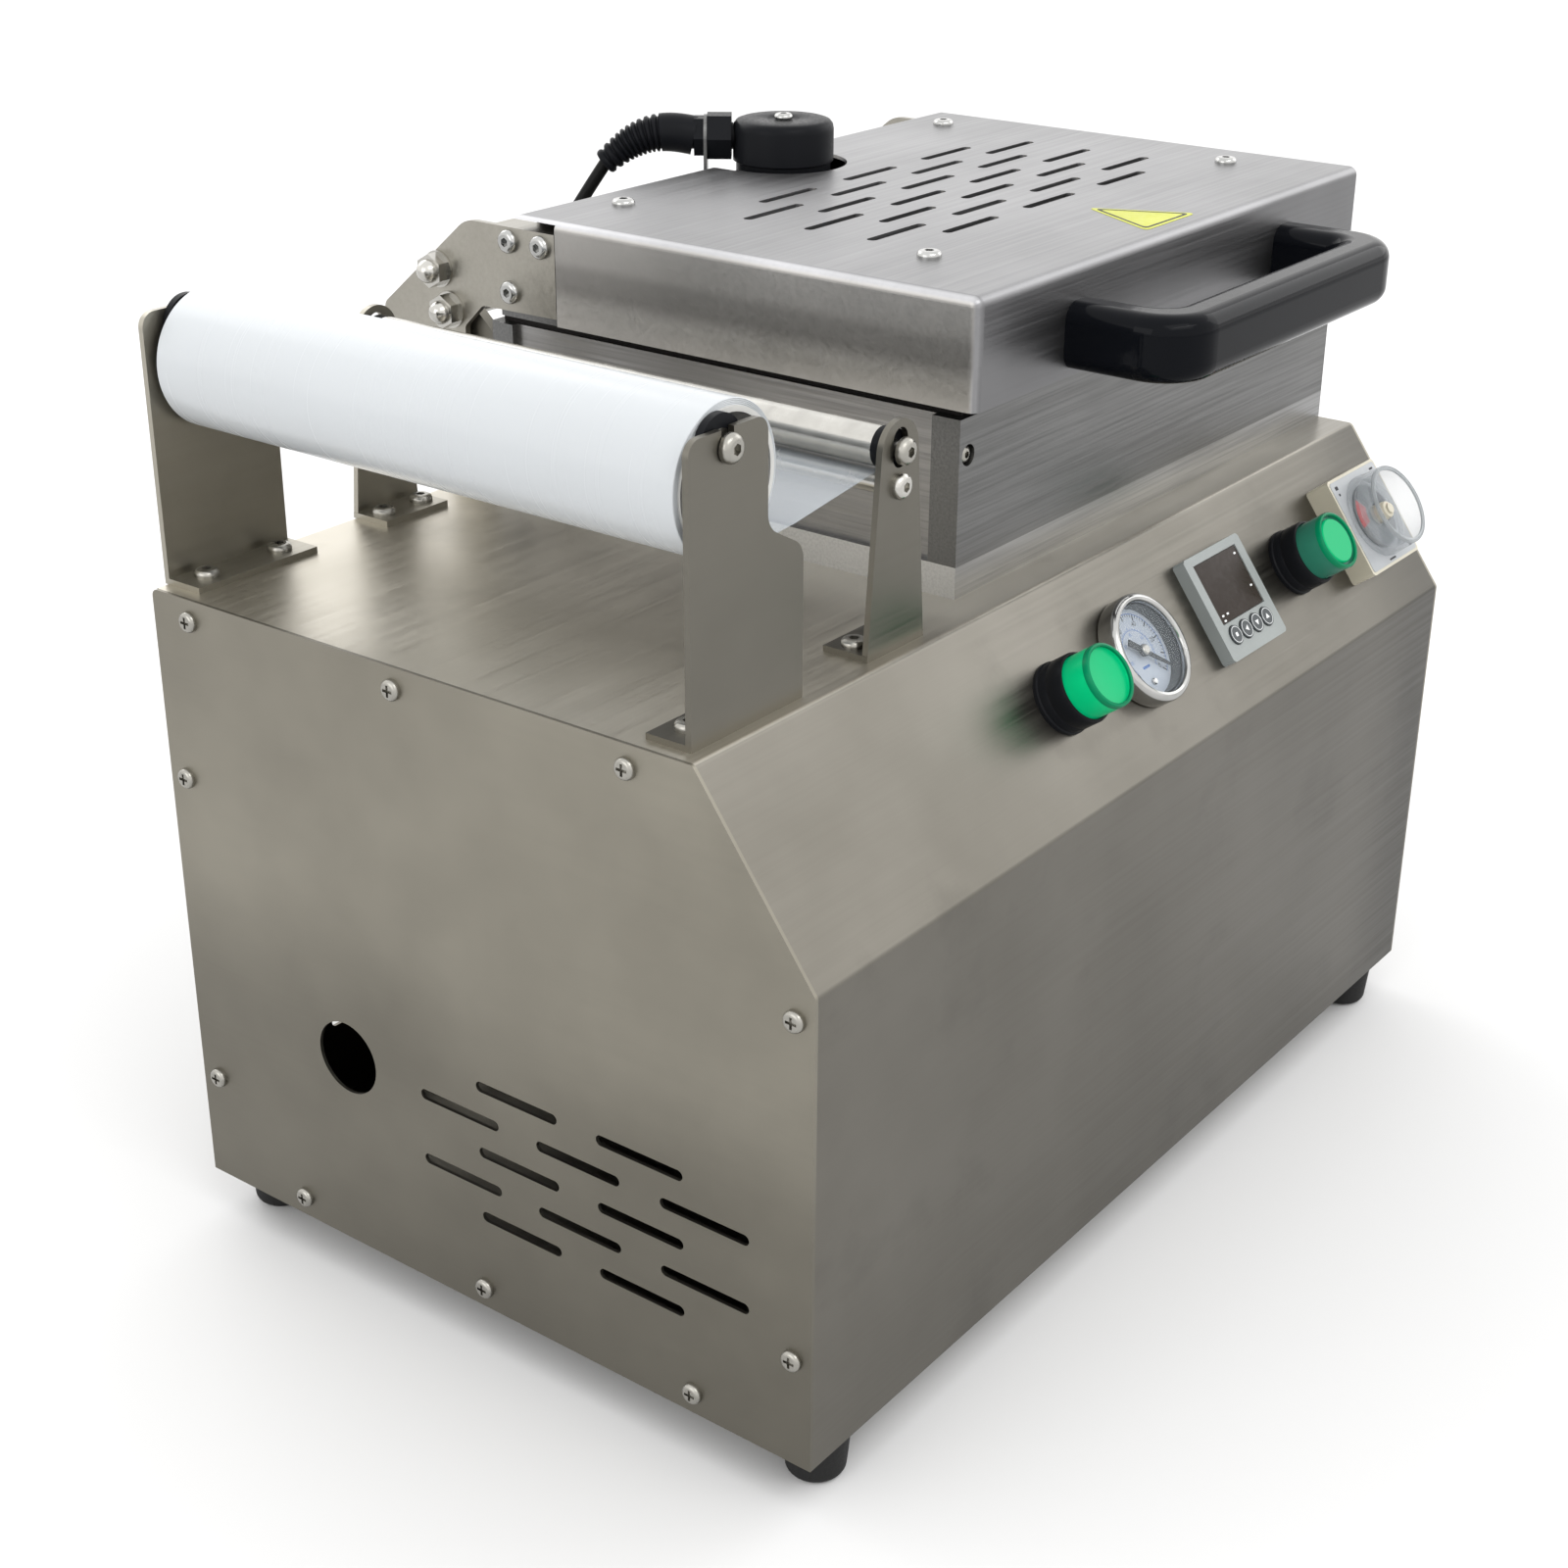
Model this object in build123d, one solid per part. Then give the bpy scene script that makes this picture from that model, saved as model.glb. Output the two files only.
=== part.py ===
from build123d import *
import os
from math import atan2, cos, degrees, hypot, pi, radians, sin, tan

# Tabletop cup sealing machine: a sheet cabinet with a film feed on the left, an aluminium
# tool block on the right and a heated, hinged lid over it.
# Machine frame while modelling, millimetres: X from the left side panel to the right one,
# Y from the front panel to the rear, Z up from the cabinet's underside.
# Every node is moved at the end so that the bottom centre of the whole box is the origin.

# ---------------------------------------------------------------- cabinet
WIDTH = 500.0
DEPTH = 325.0
DECK = 270.0                 # top of the cabinet
SLOPE_Z = 199.0              # where the front panel meets the sloped panel
SLOPE_Y = 52.0               # where the sloped panel meets the deck
SHEET = 1.5
BEND = 3.0
LIP = 14.0
FOOT_H = 21.0
FOOT_R = 13.5
FOOT_X = 24.0
FOOT_Y = 15.0

# ---------------------------------------------------------------- film feed
ROLL_X = 35.5
ROLL_Z = 357.0
ROLL_R = 27.5
CORE_R = 25.0
CORE_BORE = 23.0
AXLE_X = 27.5
AXLE_Z = 371.5
AXLE_R = 6.0
COLLAR_R = 11.0
FRONT_PLATE = 58.0           # outer face of the front film brackets
PLATE = 2.5
FLANGE = 20.0
GUIDE_X = 126.5
GUIDE_Z = 346.5
GUIDE_R = 7.6
ROD_R = 4.4
ROD_Z = 333.2
WEB_T = 0.4

# ---------------------------------------------------------------- tool block
TOOL_X0 = 183.0
TOOL_X1 = 500.0
TOOL_Y0 = 69.5
TOOL_Y1 = 312.0
TOOL_SPLIT = 283.0
TOOL_TOP = 342.0
END_T = 13.0
SIDE_T = 10.0
SIDE_INSET = 3.0
TOOL_CX = (TOOL_X0 + TOOL_X1) / 2
TOOL_CY = (TOOL_Y0 + TOOL_Y1) / 2
CUP_R = 40.0
CUP_PITCH_X = 95.0
CUP_PITCH_Y = 104.0
PRESS_STROKE = 4.0

# ---------------------------------------------------------------- lid
LID_X0 = 181.0
LID_X1 = 502.0
LID_Y0 = 62.0
LID_Y1 = 295.5
LID_Z0 = 346.0
LID_Z1 = 390.0
LID_EDGE = 4.0               # outside radius of the lid cover's folds
PIVOT_Y = 333.0
PIVOT_Z = 344.0
TIE_Y = 339.0
TIE_Z = 361.0
HINGE_ROD_R = 5.0
RUN = 0.05                   # radial clearance of a running fit
HINGE_T = 3.0
HINGE_Y0 = 271.5
CAP_X = 344.0
CAP_Y = 276.0
CAP_R = 23.2
CAP_TOP = 409.5
GLAND_ANGLE = 127.2          # direction of the gland's axis from the X axis, degrees
GLAND_Z = 401.6
GLAND_REACH = 35.0           # from the cap's axis to the gland's plate
HANDLE_REACH = 54.0
HANDLE_HALF = 98.0
HANDLE_W = 21.0
HANDLE_H = 27.0
HANDLE_Z = 362.5
CABLE_R = 3.0

# ---------------------------------------------------------------- instruments on the slope
ROW_V = 45.0                 # distance up the slope of the row's centre line
LAMP_X = 195.0
GAUGE_X = 254.0
CONTROL_X = 330.0
BUTTON_X = 392.0
TIMER_X = 455.0
CONTROL_W = 48.0
NEEDLE_REST = -40.0          # the gauge's zero, degrees from the row's direction
KEY_R = 4.2
KEY_PITCH = 9.2
KEY_V = -14.0
BUTTON_TRAVEL = 3.5

SLOPE_LEN = hypot(SLOPE_Y, DECK - SLOPE_Z)
SLOPE_UP = (0, SLOPE_Y / SLOPE_LEN, (DECK - SLOPE_Z) / SLOPE_LEN)
SLOPE_OUT = (0, -(DECK - SLOPE_Z) / SLOPE_LEN, SLOPE_Y / SLOPE_LEN)


# ================================================================ helpers
def block(x0, x1, y0, y1, z0, z1):
    centre = ((x0 + x1) / 2, (y0 + y1) / 2, (z0 + z1) / 2)
    return Pos(*centre) * Box(x1 - x0, y1 - y0, z1 - z0)


def rod(start, end, radius):
    start = Vector(*start)
    end = Vector(*end)
    plane = Plane(origin=start, z_dir=end - start)
    return extrude(plane * Circle(radius), amount=(end - start).length)


def tube(start, end, outer, inner):
    return rod(start, end, outer) - rod(start, end, inner)


def outline(points, radii=None):
    # closed polygon whose corners are rounded by radii, given by the corner's number
    face = Polygon(*points, align=None)
    for number, radius in (radii or {}).items():
        corner = Vector(*points[number])
        vertex = min(face.vertices(), key=lambda v: (Vector(v.X, v.Y) - corner).length)
        face = fillet(vertex, radius)
    return face


def prism_x(face, x0, x1):
    # the face's own axes become Y and Z
    return extrude(Plane.YZ.offset(x0) * face, amount=x1 - x0, dir=(1, 0, 0))


def prism_y(face, y0, y1):
    # the face's own axes become X and Z
    plane = Plane(origin=(0, y0, 0), x_dir=(1, 0, 0), z_dir=(0, -1, 0))
    return extrude(plane * face, amount=y1 - y0, dir=(0, 1, 0))


def prism_z(face, z0, z1):
    return extrude(Plane.XY.offset(z0) * face, amount=z1 - z0, dir=(0, 0, 1))


def on_slope(x, v=ROW_V, lift=0.0):
    # plane on the sloped panel: its X runs along the panel, its Y up the slope
    up = Vector(*SLOPE_UP) * v
    out = Vector(*SLOPE_OUT) * lift
    origin = Vector(x, 0, SLOPE_Z) + up + out
    return Plane(origin=origin, x_dir=(1, 0, 0), z_dir=SLOPE_OUT)


def boss(plane, radius, low, high):
    return extrude(plane.offset(low) * Circle(radius), amount=high - low)


def rounded_boss(plane, radius, low, high, rounding):
    # a boss whose outer rim is rounded
    shape = boss(plane, radius, low, high)
    rim = shape.edges().sort_by(lambda e: (e.center() - plane.origin).dot(plane.z_dir))[-1]
    return fillet(rim, rounding)


def pad(plane, width, height, low, high, corner=0.0):
    face = RectangleRounded(width, height, corner) if corner else Rectangle(width, height)
    return extrude(plane.offset(low) * face, amount=high - low)


def screw(place, direction, head_r, head_h, shank_r, shank, hexed=True):
    # round-headed screw: place is under the head, direction points out of the surface
    plane = Plane(origin=place, z_dir=direction)
    head = rounded_boss(plane, head_r, 0, head_h, head_h * 0.7)
    if hexed:
        recess = extrude(plane.offset(head_h * 0.4) * RegularPolygon(head_r * 0.4, 6), amount=head_h)
    else:
        recess = pad(plane, head_r * 1.1, head_r * 0.26, head_h * 0.45, head_h + 1)
        recess = recess + pad(plane, head_r * 0.26, head_r * 1.1, head_h * 0.45, head_h + 1)
    return head - recess + boss(plane, shank_r, -shank, 0)


def slot_cutter(plane, length, width, depth):
    return extrude(plane.offset(-depth) * SlotOverall(length, width), amount=2 * depth)


def ring(x0, x1, y0, y1, z0, z1, width):
    outer = block(x0, x1, y0, y1, z0, z1)
    return outer - block(x0 + width, x1 - width, y0 + width, y1 - width, z0 - 1, z1 + 1)


def mirrored_x(shape, centre=TOOL_CX):
    return mirror(shape, Plane.YZ.offset(centre))


nodes = {}

# ================================================================ cabinet shell
profile = [(0, 0), (0, SLOPE_Z), (SLOPE_Y, DECK), (DEPTH, DECK), (DEPTH, 0)]
side_face = outline(profile, {1: BEND, 2: BEND, 3: BEND})

skin = [
    (0, 0),
    (0, SLOPE_Z),
    (SLOPE_Y, DECK),
    (DEPTH - SHEET, DECK),
    (DEPTH - SHEET, DECK - 1.6 * LIP),
    (DEPTH - 2 * SHEET, DECK - 1.6 * LIP),
    (DEPTH - 2 * SHEET, DECK - SHEET),
    (SLOPE_Y + 0.7, DECK - SHEET),
    (SHEET, SLOPE_Z - 0.6),
    (SHEET, SHEET),
    (LIP, SHEET),
    (LIP, 0),
]
wrap = prism_x(outline(skin, {1: BEND, 2: BEND, 7: BEND / 2, 8: BEND / 2}), SHEET, WIDTH - SHEET)
inner = [
    (SHEET + 0.01, SHEET),
    (SHEET + 0.01, SLOPE_Z - 0.6),
    (SLOPE_Y + 0.7, DECK - SHEET - 0.01),
    (DEPTH - 2 * SHEET, DECK - SHEET - 0.01),
    (DEPTH - 2 * SHEET, SHEET),
]
flange_face = Polygon(*inner, align=None) - offset(Polygon(*inner, align=None), -LIP)
wrap = wrap + prism_x(flange_face, SHEET, 2 * SHEET)
wrap = wrap + prism_x(flange_face, WIDTH - 2 * SHEET, WIDTH - SHEET)

side_screw_places = [
    (304, 261), (193, 261), (81, 261), (315, 191), (8.5, 188),
    (315, 50), (266, 9.5), (162, 9.5), (55, 9.5), (8.5, 47),
]
screws = []
left_panel = prism_x(side_face, 0, SHEET)
right_panel = prism_x(side_face, WIDTH - SHEET, WIDTH)
for y, z in side_screw_places:
    hole = rod((-5, y, z), (WIDTH + 5, y, z), 2.1)
    left_panel -= hole
    right_panel -= hole
    wrap -= hole
    screws.append(screw((0, y, z), (-1, 0, 0), 4.3, 2.6, 2.0, 9, hexed=False))
    screws.append(screw((WIDTH, y, z), (1, 0, 0), 4.3, 2.6, 2.0, 9, hexed=False))

VENT_L = 41.5
VENT_W = 4.6
for row in range(5):
    z = 104.5 - 15.0 * row
    columns = (140.5, 79.5) if row % 2 == 0 else (171.0, 110.0, 49.0)
    for y in columns:
        place = Plane(origin=(0, y, z), x_dir=(0, 1, 0), z_dir=(1, 0, 0))
        left_panel -= slot_cutter(place, VENT_L, VENT_W, 5)
        right_place = Plane(origin=(WIDTH, y, z), x_dir=(0, 1, 0), z_dir=(1, 0, 0))
        right_panel -= slot_cutter(right_place, VENT_L, VENT_W, 5)
PORT_Y = 233.0
PORT_Z = 90.0
PORT_R = 16.0
left_panel -= rod((-5, PORT_Y, PORT_Z), (5, PORT_Y, PORT_Z), PORT_R)

rear = block(SHEET, WIDTH - SHEET, DEPTH - SHEET, DEPTH, 0, DECK - BEND)
for x in (30, 250, 440):
    for z in (12, 255):
        hole = rod((x, DEPTH - 12, z), (x, DEPTH + 5, z), 2.1)
        rear -= hole
        wrap -= hole
        screws.append(screw((x, DEPTH, z), (0, 1, 0), 4.3, 2.6, 2.0, 8, hexed=False))
for row in range(5):
    for column in range(4):
        place = (90 + 44 * column + 22 * (row % 2), DEPTH, 40 + 12 * row)
        plane = Plane(origin=place, x_dir=(1, 0, 0), z_dir=(0, 1, 0))
        rear -= slot_cutter(plane, 36, VENT_W, 5)
nodes["panel_screws"] = screws

INLET_X = 420.0
INLET_Z = 60.0
rear -= block(INLET_X - 14, INLET_X + 14, DEPTH - 5, DEPTH + 5, INLET_Z - 11, INLET_Z + 11)
inlet = block(INLET_X - 24, INLET_X + 24, DEPTH, DEPTH + 3, INLET_Z - 15, INLET_Z + 15)
inlet = fillet(inlet.edges().filter_by(Axis.Y), 4)
inlet += block(INLET_X - 13.8, INLET_X + 13.8, DEPTH - 26, DEPTH, INLET_Z - 10.8, INLET_Z + 10.8)
socket = block(INLET_X - 11.5, INLET_X + 11.5, DEPTH - 16, DEPTH + 4, INLET_Z - 8, INLET_Z + 8)
inlet -= fillet(socket.edges().filter_by(Axis.Y), 2)
nodes["power_inlet"] = [inlet]

AIR_X = 345.0
AIR_Z = 60.0
rear -= rod((AIR_X, DEPTH - 5, AIR_Z), (AIR_X, DEPTH + 5, AIR_Z), 6.6)
air = rod((AIR_X, DEPTH - 14, AIR_Z), (AIR_X, DEPTH, AIR_Z), 6.5)
air += prism_y(Pos(AIR_X, AIR_Z) * RegularPolygon(10, 6), DEPTH, DEPTH + 6)
air += rod((AIR_X, DEPTH + 6, AIR_Z), (AIR_X, DEPTH + 18, AIR_Z), 7)
air -= rod((AIR_X, DEPTH - 15, AIR_Z), (AIR_X, DEPTH + 19, AIR_Z), 4)
nodes["air_fitting"] = [air]

CABLE_IN_X = 262.0
CABLE_IN_Z = 190.0
rear -= rod((CABLE_IN_X, DEPTH - 5, CABLE_IN_Z), (CABLE_IN_X, DEPTH + 5, CABLE_IN_Z), 6.1)

base = block(2 * SHEET, WIDTH - 2 * SHEET, LIP + 0.2, DEPTH - SHEET - 0.1, 0, SHEET)
base -= block(SHEET, 2 * SHEET + LIP, LIP, DEPTH, SHEET, 3)
feet = []
for x in (FOOT_X, WIDTH - FOOT_X):
    for y in (FOOT_Y, DEPTH - FOOT_Y):
        cone = Pos(x, y, -FOOT_H / 2) * Cone(FOOT_R - 2, FOOT_R, FOOT_H)
        rim = cone.edges().sort_by(Axis.Z)[0]
        feet.append(fillet(rim, 4) - rod((x, y, -FOOT_H - 1), (x, y, -FOOT_H + 9), 4.5))
nodes["rubber_feet"] = feet

# ================================================================ parts inside the cabinet
bore_r = 25.0
ram_r = 10.0
barrel = block(TOOL_CX - 38, TOOL_CX + 38, TOOL_CY - 38, TOOL_CY + 38, 208, DECK - SHEET)
barrel = fillet(barrel.edges().filter_by(Axis.Z), 8)
barrel -= rod((TOOL_CX, TOOL_CY, 216), (TOOL_CX, TOOL_CY, 258), bore_r + RUN)
barrel -= rod((TOOL_CX, TOOL_CY, 250), (TOOL_CX, TOOL_CY, DECK), ram_r + RUN)
nodes["press_cylinder"] = [barrel]
valve = block(150, 176, 232, 300, SHEET, 34)
valve += block(153, 173, 240, 266, 34, 62)
valve += rod((150, 290, 20), (138, 290, 20), 6)
nodes["solenoid_valve"] = [valve]
supply = block(360, 470, 150, 290, SHEET, 42)
for index in range(7):
    supply -= block(368 + 14 * index, 376 + 14 * index, 165, 275, 39, 43)
nodes["power_supply"] = [supply]

# ================================================================ instruments
slope_holes = [
    boss(on_slope(LAMP_X), 11.2, -6, 6),
    boss(on_slope(BUTTON_X), 11.2, -6, 6),
    boss(on_slope(GAUGE_X), 20.6, -6, 6),
    pad(on_slope(CONTROL_X), 45, 45, -6, 6),
    pad(on_slope(TIMER_X), 45, 45, -6, 6),
]
for hole in slope_holes:
    wrap -= hole

RING_R = 15.0
RING_H = 14.0
LENS_R = 13.3
LENS_H = 27.0


def lamp_body(x):
    plane = on_slope(x)
    body = boss(plane, RING_R, 0, RING_H) + boss(plane, 11, -46, 0)
    body += pad(plane, 26, 20, -46, -14)
    return body


plane = on_slope(LAMP_X)
nodes["pilot_lamp_body"] = [lamp_body(LAMP_X)]
nodes["pilot_lamp_lens"] = [rounded_boss(plane, LENS_R, RING_H, LENS_H, 1.2)]

plane = on_slope(BUTTON_X)
housing = lamp_body(BUTTON_X) - boss(plane, LENS_R + 0.35, RING_H - 6, RING_H + 1)
nodes["button_housing"] = [housing]
nodes["button_cap"] = [rounded_boss(plane, LENS_R, RING_H - 2, LENS_H, 1.0)]

BEZEL_R = 23.5
BEZEL_H = 10.0
plane = on_slope(GAUGE_X)
gauge = boss(plane, BEZEL_R, 0, BEZEL_H) + boss(plane, 20.4, -26, 0) + boss(plane, 6.5, -42, -26)
gauge -= boss(plane, 20.0, 1.5, BEZEL_H - 1)
gauge -= boss(plane, 19.2, BEZEL_H - 2, BEZEL_H + 1)
nodes["gauge_case"] = [gauge + boss(plane, 1.2, 1.4, 3.2)]
nodes["gauge_glass"] = [boss(plane, 19.9, BEZEL_H - 3.2, BEZEL_H - 1.2)]
needle = boss(plane, 2.6, 3.6, 5.0)
pointer = Polygon((-9, -1.4), (17, -0.5), (17, 0.5), (-9, 1.4), align=None)
needle += extrude(plane.offset(3.8) * Rot(0, 0, NEEDLE_REST) * pointer, amount=0.8, dir=SLOPE_OUT)
nodes["gauge_needle"] = [needle]

plane = on_slope(CONTROL_X)
controller = pad(plane, CONTROL_W, CONTROL_W, 0, 6, 2) + pad(plane, 44.6, 44.6, -62, 0)
controller -= extrude(plane.offset(5) * Pos(0, 6) * Rectangle(37, 28), 2)
for index in range(4):
    x = CONTROL_X + KEY_PITCH * (index - 1.5)
    key_plane = on_slope(x, ROW_V + KEY_V)
    controller -= boss(key_plane, KEY_R + 0.3, 2.5, 7)
    key = boss(key_plane, KEY_R, 3.6, 6.8)
    nodes["controller_key_" + str(index + 1)] = [key]
nodes["controller_case"] = [controller]

TIMER_H = 12.0
KNOB_R = 19.8
KNOB_H = 27.0
plane = on_slope(TIMER_X)
timer = pad(plane, CONTROL_W, CONTROL_W, 0, TIMER_H, 2) + pad(plane, 44.6, 44.6, -66, 0)
timer += boss(plane, 2.4, TIMER_H, TIMER_H + 10)
nodes["timer_case"] = [timer]
timer_dial = boss(plane, 16.5, TIMER_H, TIMER_H + 3) - boss(plane, 2.5, TIMER_H - 1, TIMER_H + 4)
nodes["timer_dial"] = [timer_dial]
knob = boss(plane, KNOB_R, TIMER_H + 0.4, KNOB_H)
knob -= boss(plane, KNOB_R - 2.2, TIMER_H, KNOB_H - 2)
knob += boss(plane, 6.5, TIMER_H + 4, KNOB_H - 2)
knob -= boss(plane, 2.4 + RUN, TIMER_H, TIMER_H + 10.5)
nodes["timer_knob"] = [knob]

# ================================================================ film brackets
REAR_PLATE = DEPTH
deck_screws = []
BRACKET_X0 = 7.0
BRACKET_X1 = 69.0
NECK_R = 3.0
roll_shape = [
    (BRACKET_X0, DECK), (BRACKET_X0, 378), (49, 378), (49, 338), (BRACKET_X1, 327), (BRACKET_X1, DECK),
]
roll_face = outline(roll_shape, {1: 6, 2: 6, 3: 9, 4: 9})
roll_face -= Pos(AXLE_X, AXLE_Z) * Circle(NECK_R + 0.3)
roll_face -= Pos(AXLE_X, AXLE_Z + 10) * Rectangle(2 * NECK_R + 0.6, 20)
GUIDE_HALF = 18.0
HEAD_R = 11.5
guide_shape = [
    (GUIDE_X - GUIDE_HALF, DECK), (GUIDE_X - HEAD_R, GUIDE_Z),
    (GUIDE_X + HEAD_R, GUIDE_Z), (GUIDE_X + GUIDE_HALF, DECK),
]
guide_face = Polygon(*guide_shape, align=None) + Pos(GUIDE_X, GUIDE_Z) * Circle(HEAD_R)
guide_slot = Pos(GUIDE_X, GUIDE_Z + 1) * Rot(0, 0, 90) * SlotOverall(15, 9)
guide_face -= guide_slot
guide_face -= Pos(GUIDE_X, ROD_Z) * Circle(2.6)


def film_bracket(face, x0, x1, front):
    if front:
        plate = prism_y(face, FRONT_PLATE, FRONT_PLATE + PLATE)
        foot = block(x0, x1, FRONT_PLATE, FRONT_PLATE + FLANGE, DECK, DECK + PLATE)
    else:
        plate = prism_y(face, REAR_PLATE - PLATE, REAR_PLATE)
        foot = block(x0, x1, REAR_PLATE - FLANGE, REAR_PLATE, DECK, DECK + PLATE)
    return plate + foot


deck_holes = []


def bracket_pair(face, x0, x1, screw_xs):
    pair = []
    for front in (True, False):
        bracket = film_bracket(face, x0, x1, front)
        y = FRONT_PLATE + 11 if front else REAR_PLATE - 11
        for x in screw_xs:
            hole = rod((x, y, DECK - 5), (x, y, DECK + 5), 2.6)
            bracket -= hole
            deck_holes.append(hole)
            deck_screws.append(screw((x, y, DECK + PLATE), (0, 0, 1), 5.0, 3.0, 2.5, 10))
        pair.append(bracket)
    return pair


nodes["roll_brackets"] = bracket_pair(roll_face, BRACKET_X0, BRACKET_X1, (19, 57))
guide_screws = (GUIDE_X - 11, GUIDE_X + 11)
nodes["guide_brackets"] = bracket_pair(guide_face, GUIDE_X - GUIDE_HALF, GUIDE_X + GUIDE_HALF, guide_screws)

INNER_Y0 = FRONT_PLATE + PLATE
INNER_Y1 = REAR_PLATE - PLATE
for hole in deck_holes:
    wrap -= hole
COLLAR_T = 3.0
GAP = 0.4


def button_head(x, y, z, direction, radius, height):
    return screw((x, y, z), (0, direction, 0), radius, height, 1.5, 4)


axle = rod((AXLE_X, INNER_Y0 + GAP, AXLE_Z), (AXLE_X, INNER_Y1 - GAP, AXLE_Z), AXLE_R)
axle += rod((AXLE_X, FRONT_PLATE - GAP, AXLE_Z), (AXLE_X, REAR_PLATE + GAP, AXLE_Z), NECK_R)
axle += button_head(AXLE_X, FRONT_PLATE - GAP, AXLE_Z, -1, 5.3, 3.6)
axle += button_head(AXLE_X, REAR_PLATE + GAP, AXLE_Z, 1, 5.3, 3.6)
nodes["roll_axle"] = [axle]
collar_ys = (INNER_Y0 + GAP, INNER_Y1 - GAP - COLLAR_T)
nodes["axle_collars"] = [
    tube((AXLE_X, y, AXLE_Z), (AXLE_X, y + COLLAR_T, AXLE_Z), COLLAR_R, AXLE_R) for y in collar_ys
]
ROLL_Y0 = INNER_Y0 + 2 * GAP + COLLAR_T
ROLL_Y1 = INNER_Y1 - 2 * GAP - COLLAR_T
roll_ends = ((ROLL_X, ROLL_Y0, ROLL_Z), (ROLL_X, ROLL_Y1, ROLL_Z))
nodes["film_core"] = [tube(*roll_ends, CORE_R, CORE_BORE)]
nodes["film_roll"] = [tube((ROLL_X, ROLL_Y0 + 1, ROLL_Z), (ROLL_X, ROLL_Y1 - 1, ROLL_Z), ROLL_R, CORE_R)]

shaft_r = 3.5
cap_t = 5.0
shaft_ends = (INNER_Y0 - PLATE - 1.2, INNER_Y1 + PLATE + 1.2)
shaft = rod((GUIDE_X, shaft_ends[0], GUIDE_Z), (GUIDE_X, shaft_ends[1], GUIDE_Z), shaft_r)
shaft += button_head(GUIDE_X, shaft_ends[0], GUIDE_Z, -1, 5.2, 3.6)
shaft += button_head(GUIDE_X, shaft_ends[1], GUIDE_Z, 1, 5.2, 3.6)
nodes["guide_shaft"] = [shaft]
caps = []
for y in (INNER_Y0 + 0.6, INNER_Y1 - 0.6 - cap_t):
    caps.append(tube((GUIDE_X, y, GUIDE_Z), (GUIDE_X, y + cap_t, GUIDE_Z), GUIDE_R, shaft_r + RUN))
nodes["guide_end_caps"] = caps
tube_y0 = INNER_Y0 + 0.6 + cap_t
tube_y1 = INNER_Y1 - 0.6 - cap_t
nodes["guide_tube"] = [tube((GUIDE_X, tube_y0, GUIDE_Z), (GUIDE_X, tube_y1, GUIDE_Z), GUIDE_R, GUIDE_R - 1.2)]

lower = rod((GUIDE_X, INNER_Y0, ROD_Z), (GUIDE_X, INNER_Y1, ROD_Z), ROD_R)
lower += screw((GUIDE_X, FRONT_PLATE, ROD_Z), (0, -1, 0), 5.0, 3.2, 2.5, 5)
lower += screw((GUIDE_X, REAR_PLATE, ROD_Z), (0, 1, 0), 5.0, 3.2, 2.5, 5)
nodes["lower_rod"] = [lower]

# the web leaves the underside of the roll and lies over the lower rod
WEB_Y0 = ROLL_Y0 + 2
WEB_Y1 = ROLL_Y1 - 2
roll_low = ROLL_Z - ROLL_R - 0.35
rod_top = ROD_Z + ROD_R
web_top = [(ROLL_X + 1, roll_low), (75, roll_low + 2.4), (GUIDE_X - 3, rod_top + 0.25), (GUIDE_X + 4, rod_top + 0.45)]
web_top.append((GUIDE_X + 15, rod_top + 0.45))
web_low = [(x, z - WEB_T) for x, z in reversed(web_top)]
web = prism_y(Polygon(*web_top, *web_low, align=None), WEB_Y0, WEB_Y1) - lower
nodes["film_web"] = [web]

# ================================================================ lower tool
tool_base = block(TOOL_X0, TOOL_X1, TOOL_Y0, TOOL_Y1, DECK, TOOL_SPLIT)
tool_base -= rod((TOOL_CX, TOOL_CY, DECK - 1), (TOOL_CX, TOOL_CY, TOOL_SPLIT + 1), ram_r + 0.4)
wrap -= rod((TOOL_CX, TOOL_CY, DECK - 5), (TOOL_CX, TOOL_CY, DECK + 5), ram_r + 8)
nodes["tool_base_plate"] = [tool_base]
GASKET_W = 5.0
gasket = ring(TOOL_X0 + 5.5, TOOL_X1 - 5.5, TOOL_Y0 + 3.5, TOOL_Y1 - 3.5, TOOL_TOP - 2.5, TOOL_TOP + 2, GASKET_W)
nodes["seal_gasket"] = [gasket]
front_end = block(TOOL_X0, TOOL_X1, TOOL_Y0, TOOL_Y0 + END_T, TOOL_SPLIT, TOOL_TOP)
rear_end = block(TOOL_X0, TOOL_X1, TOOL_Y1 - END_T, TOOL_Y1, TOOL_SPLIT, TOOL_TOP)
side_x0 = TOOL_X0 + SIDE_INSET
side_x1 = TOOL_X1 - SIDE_INSET
sides = [
    block(side_x0, side_x0 + SIDE_T, TOOL_Y0 + END_T, TOOL_Y1 - END_T, TOOL_SPLIT, TOOL_TOP) - gasket,
    block(side_x1 - SIDE_T, side_x1, TOOL_Y0 + END_T, TOOL_Y1 - END_T, TOOL_SPLIT, TOOL_TOP) - gasket,
]
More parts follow.
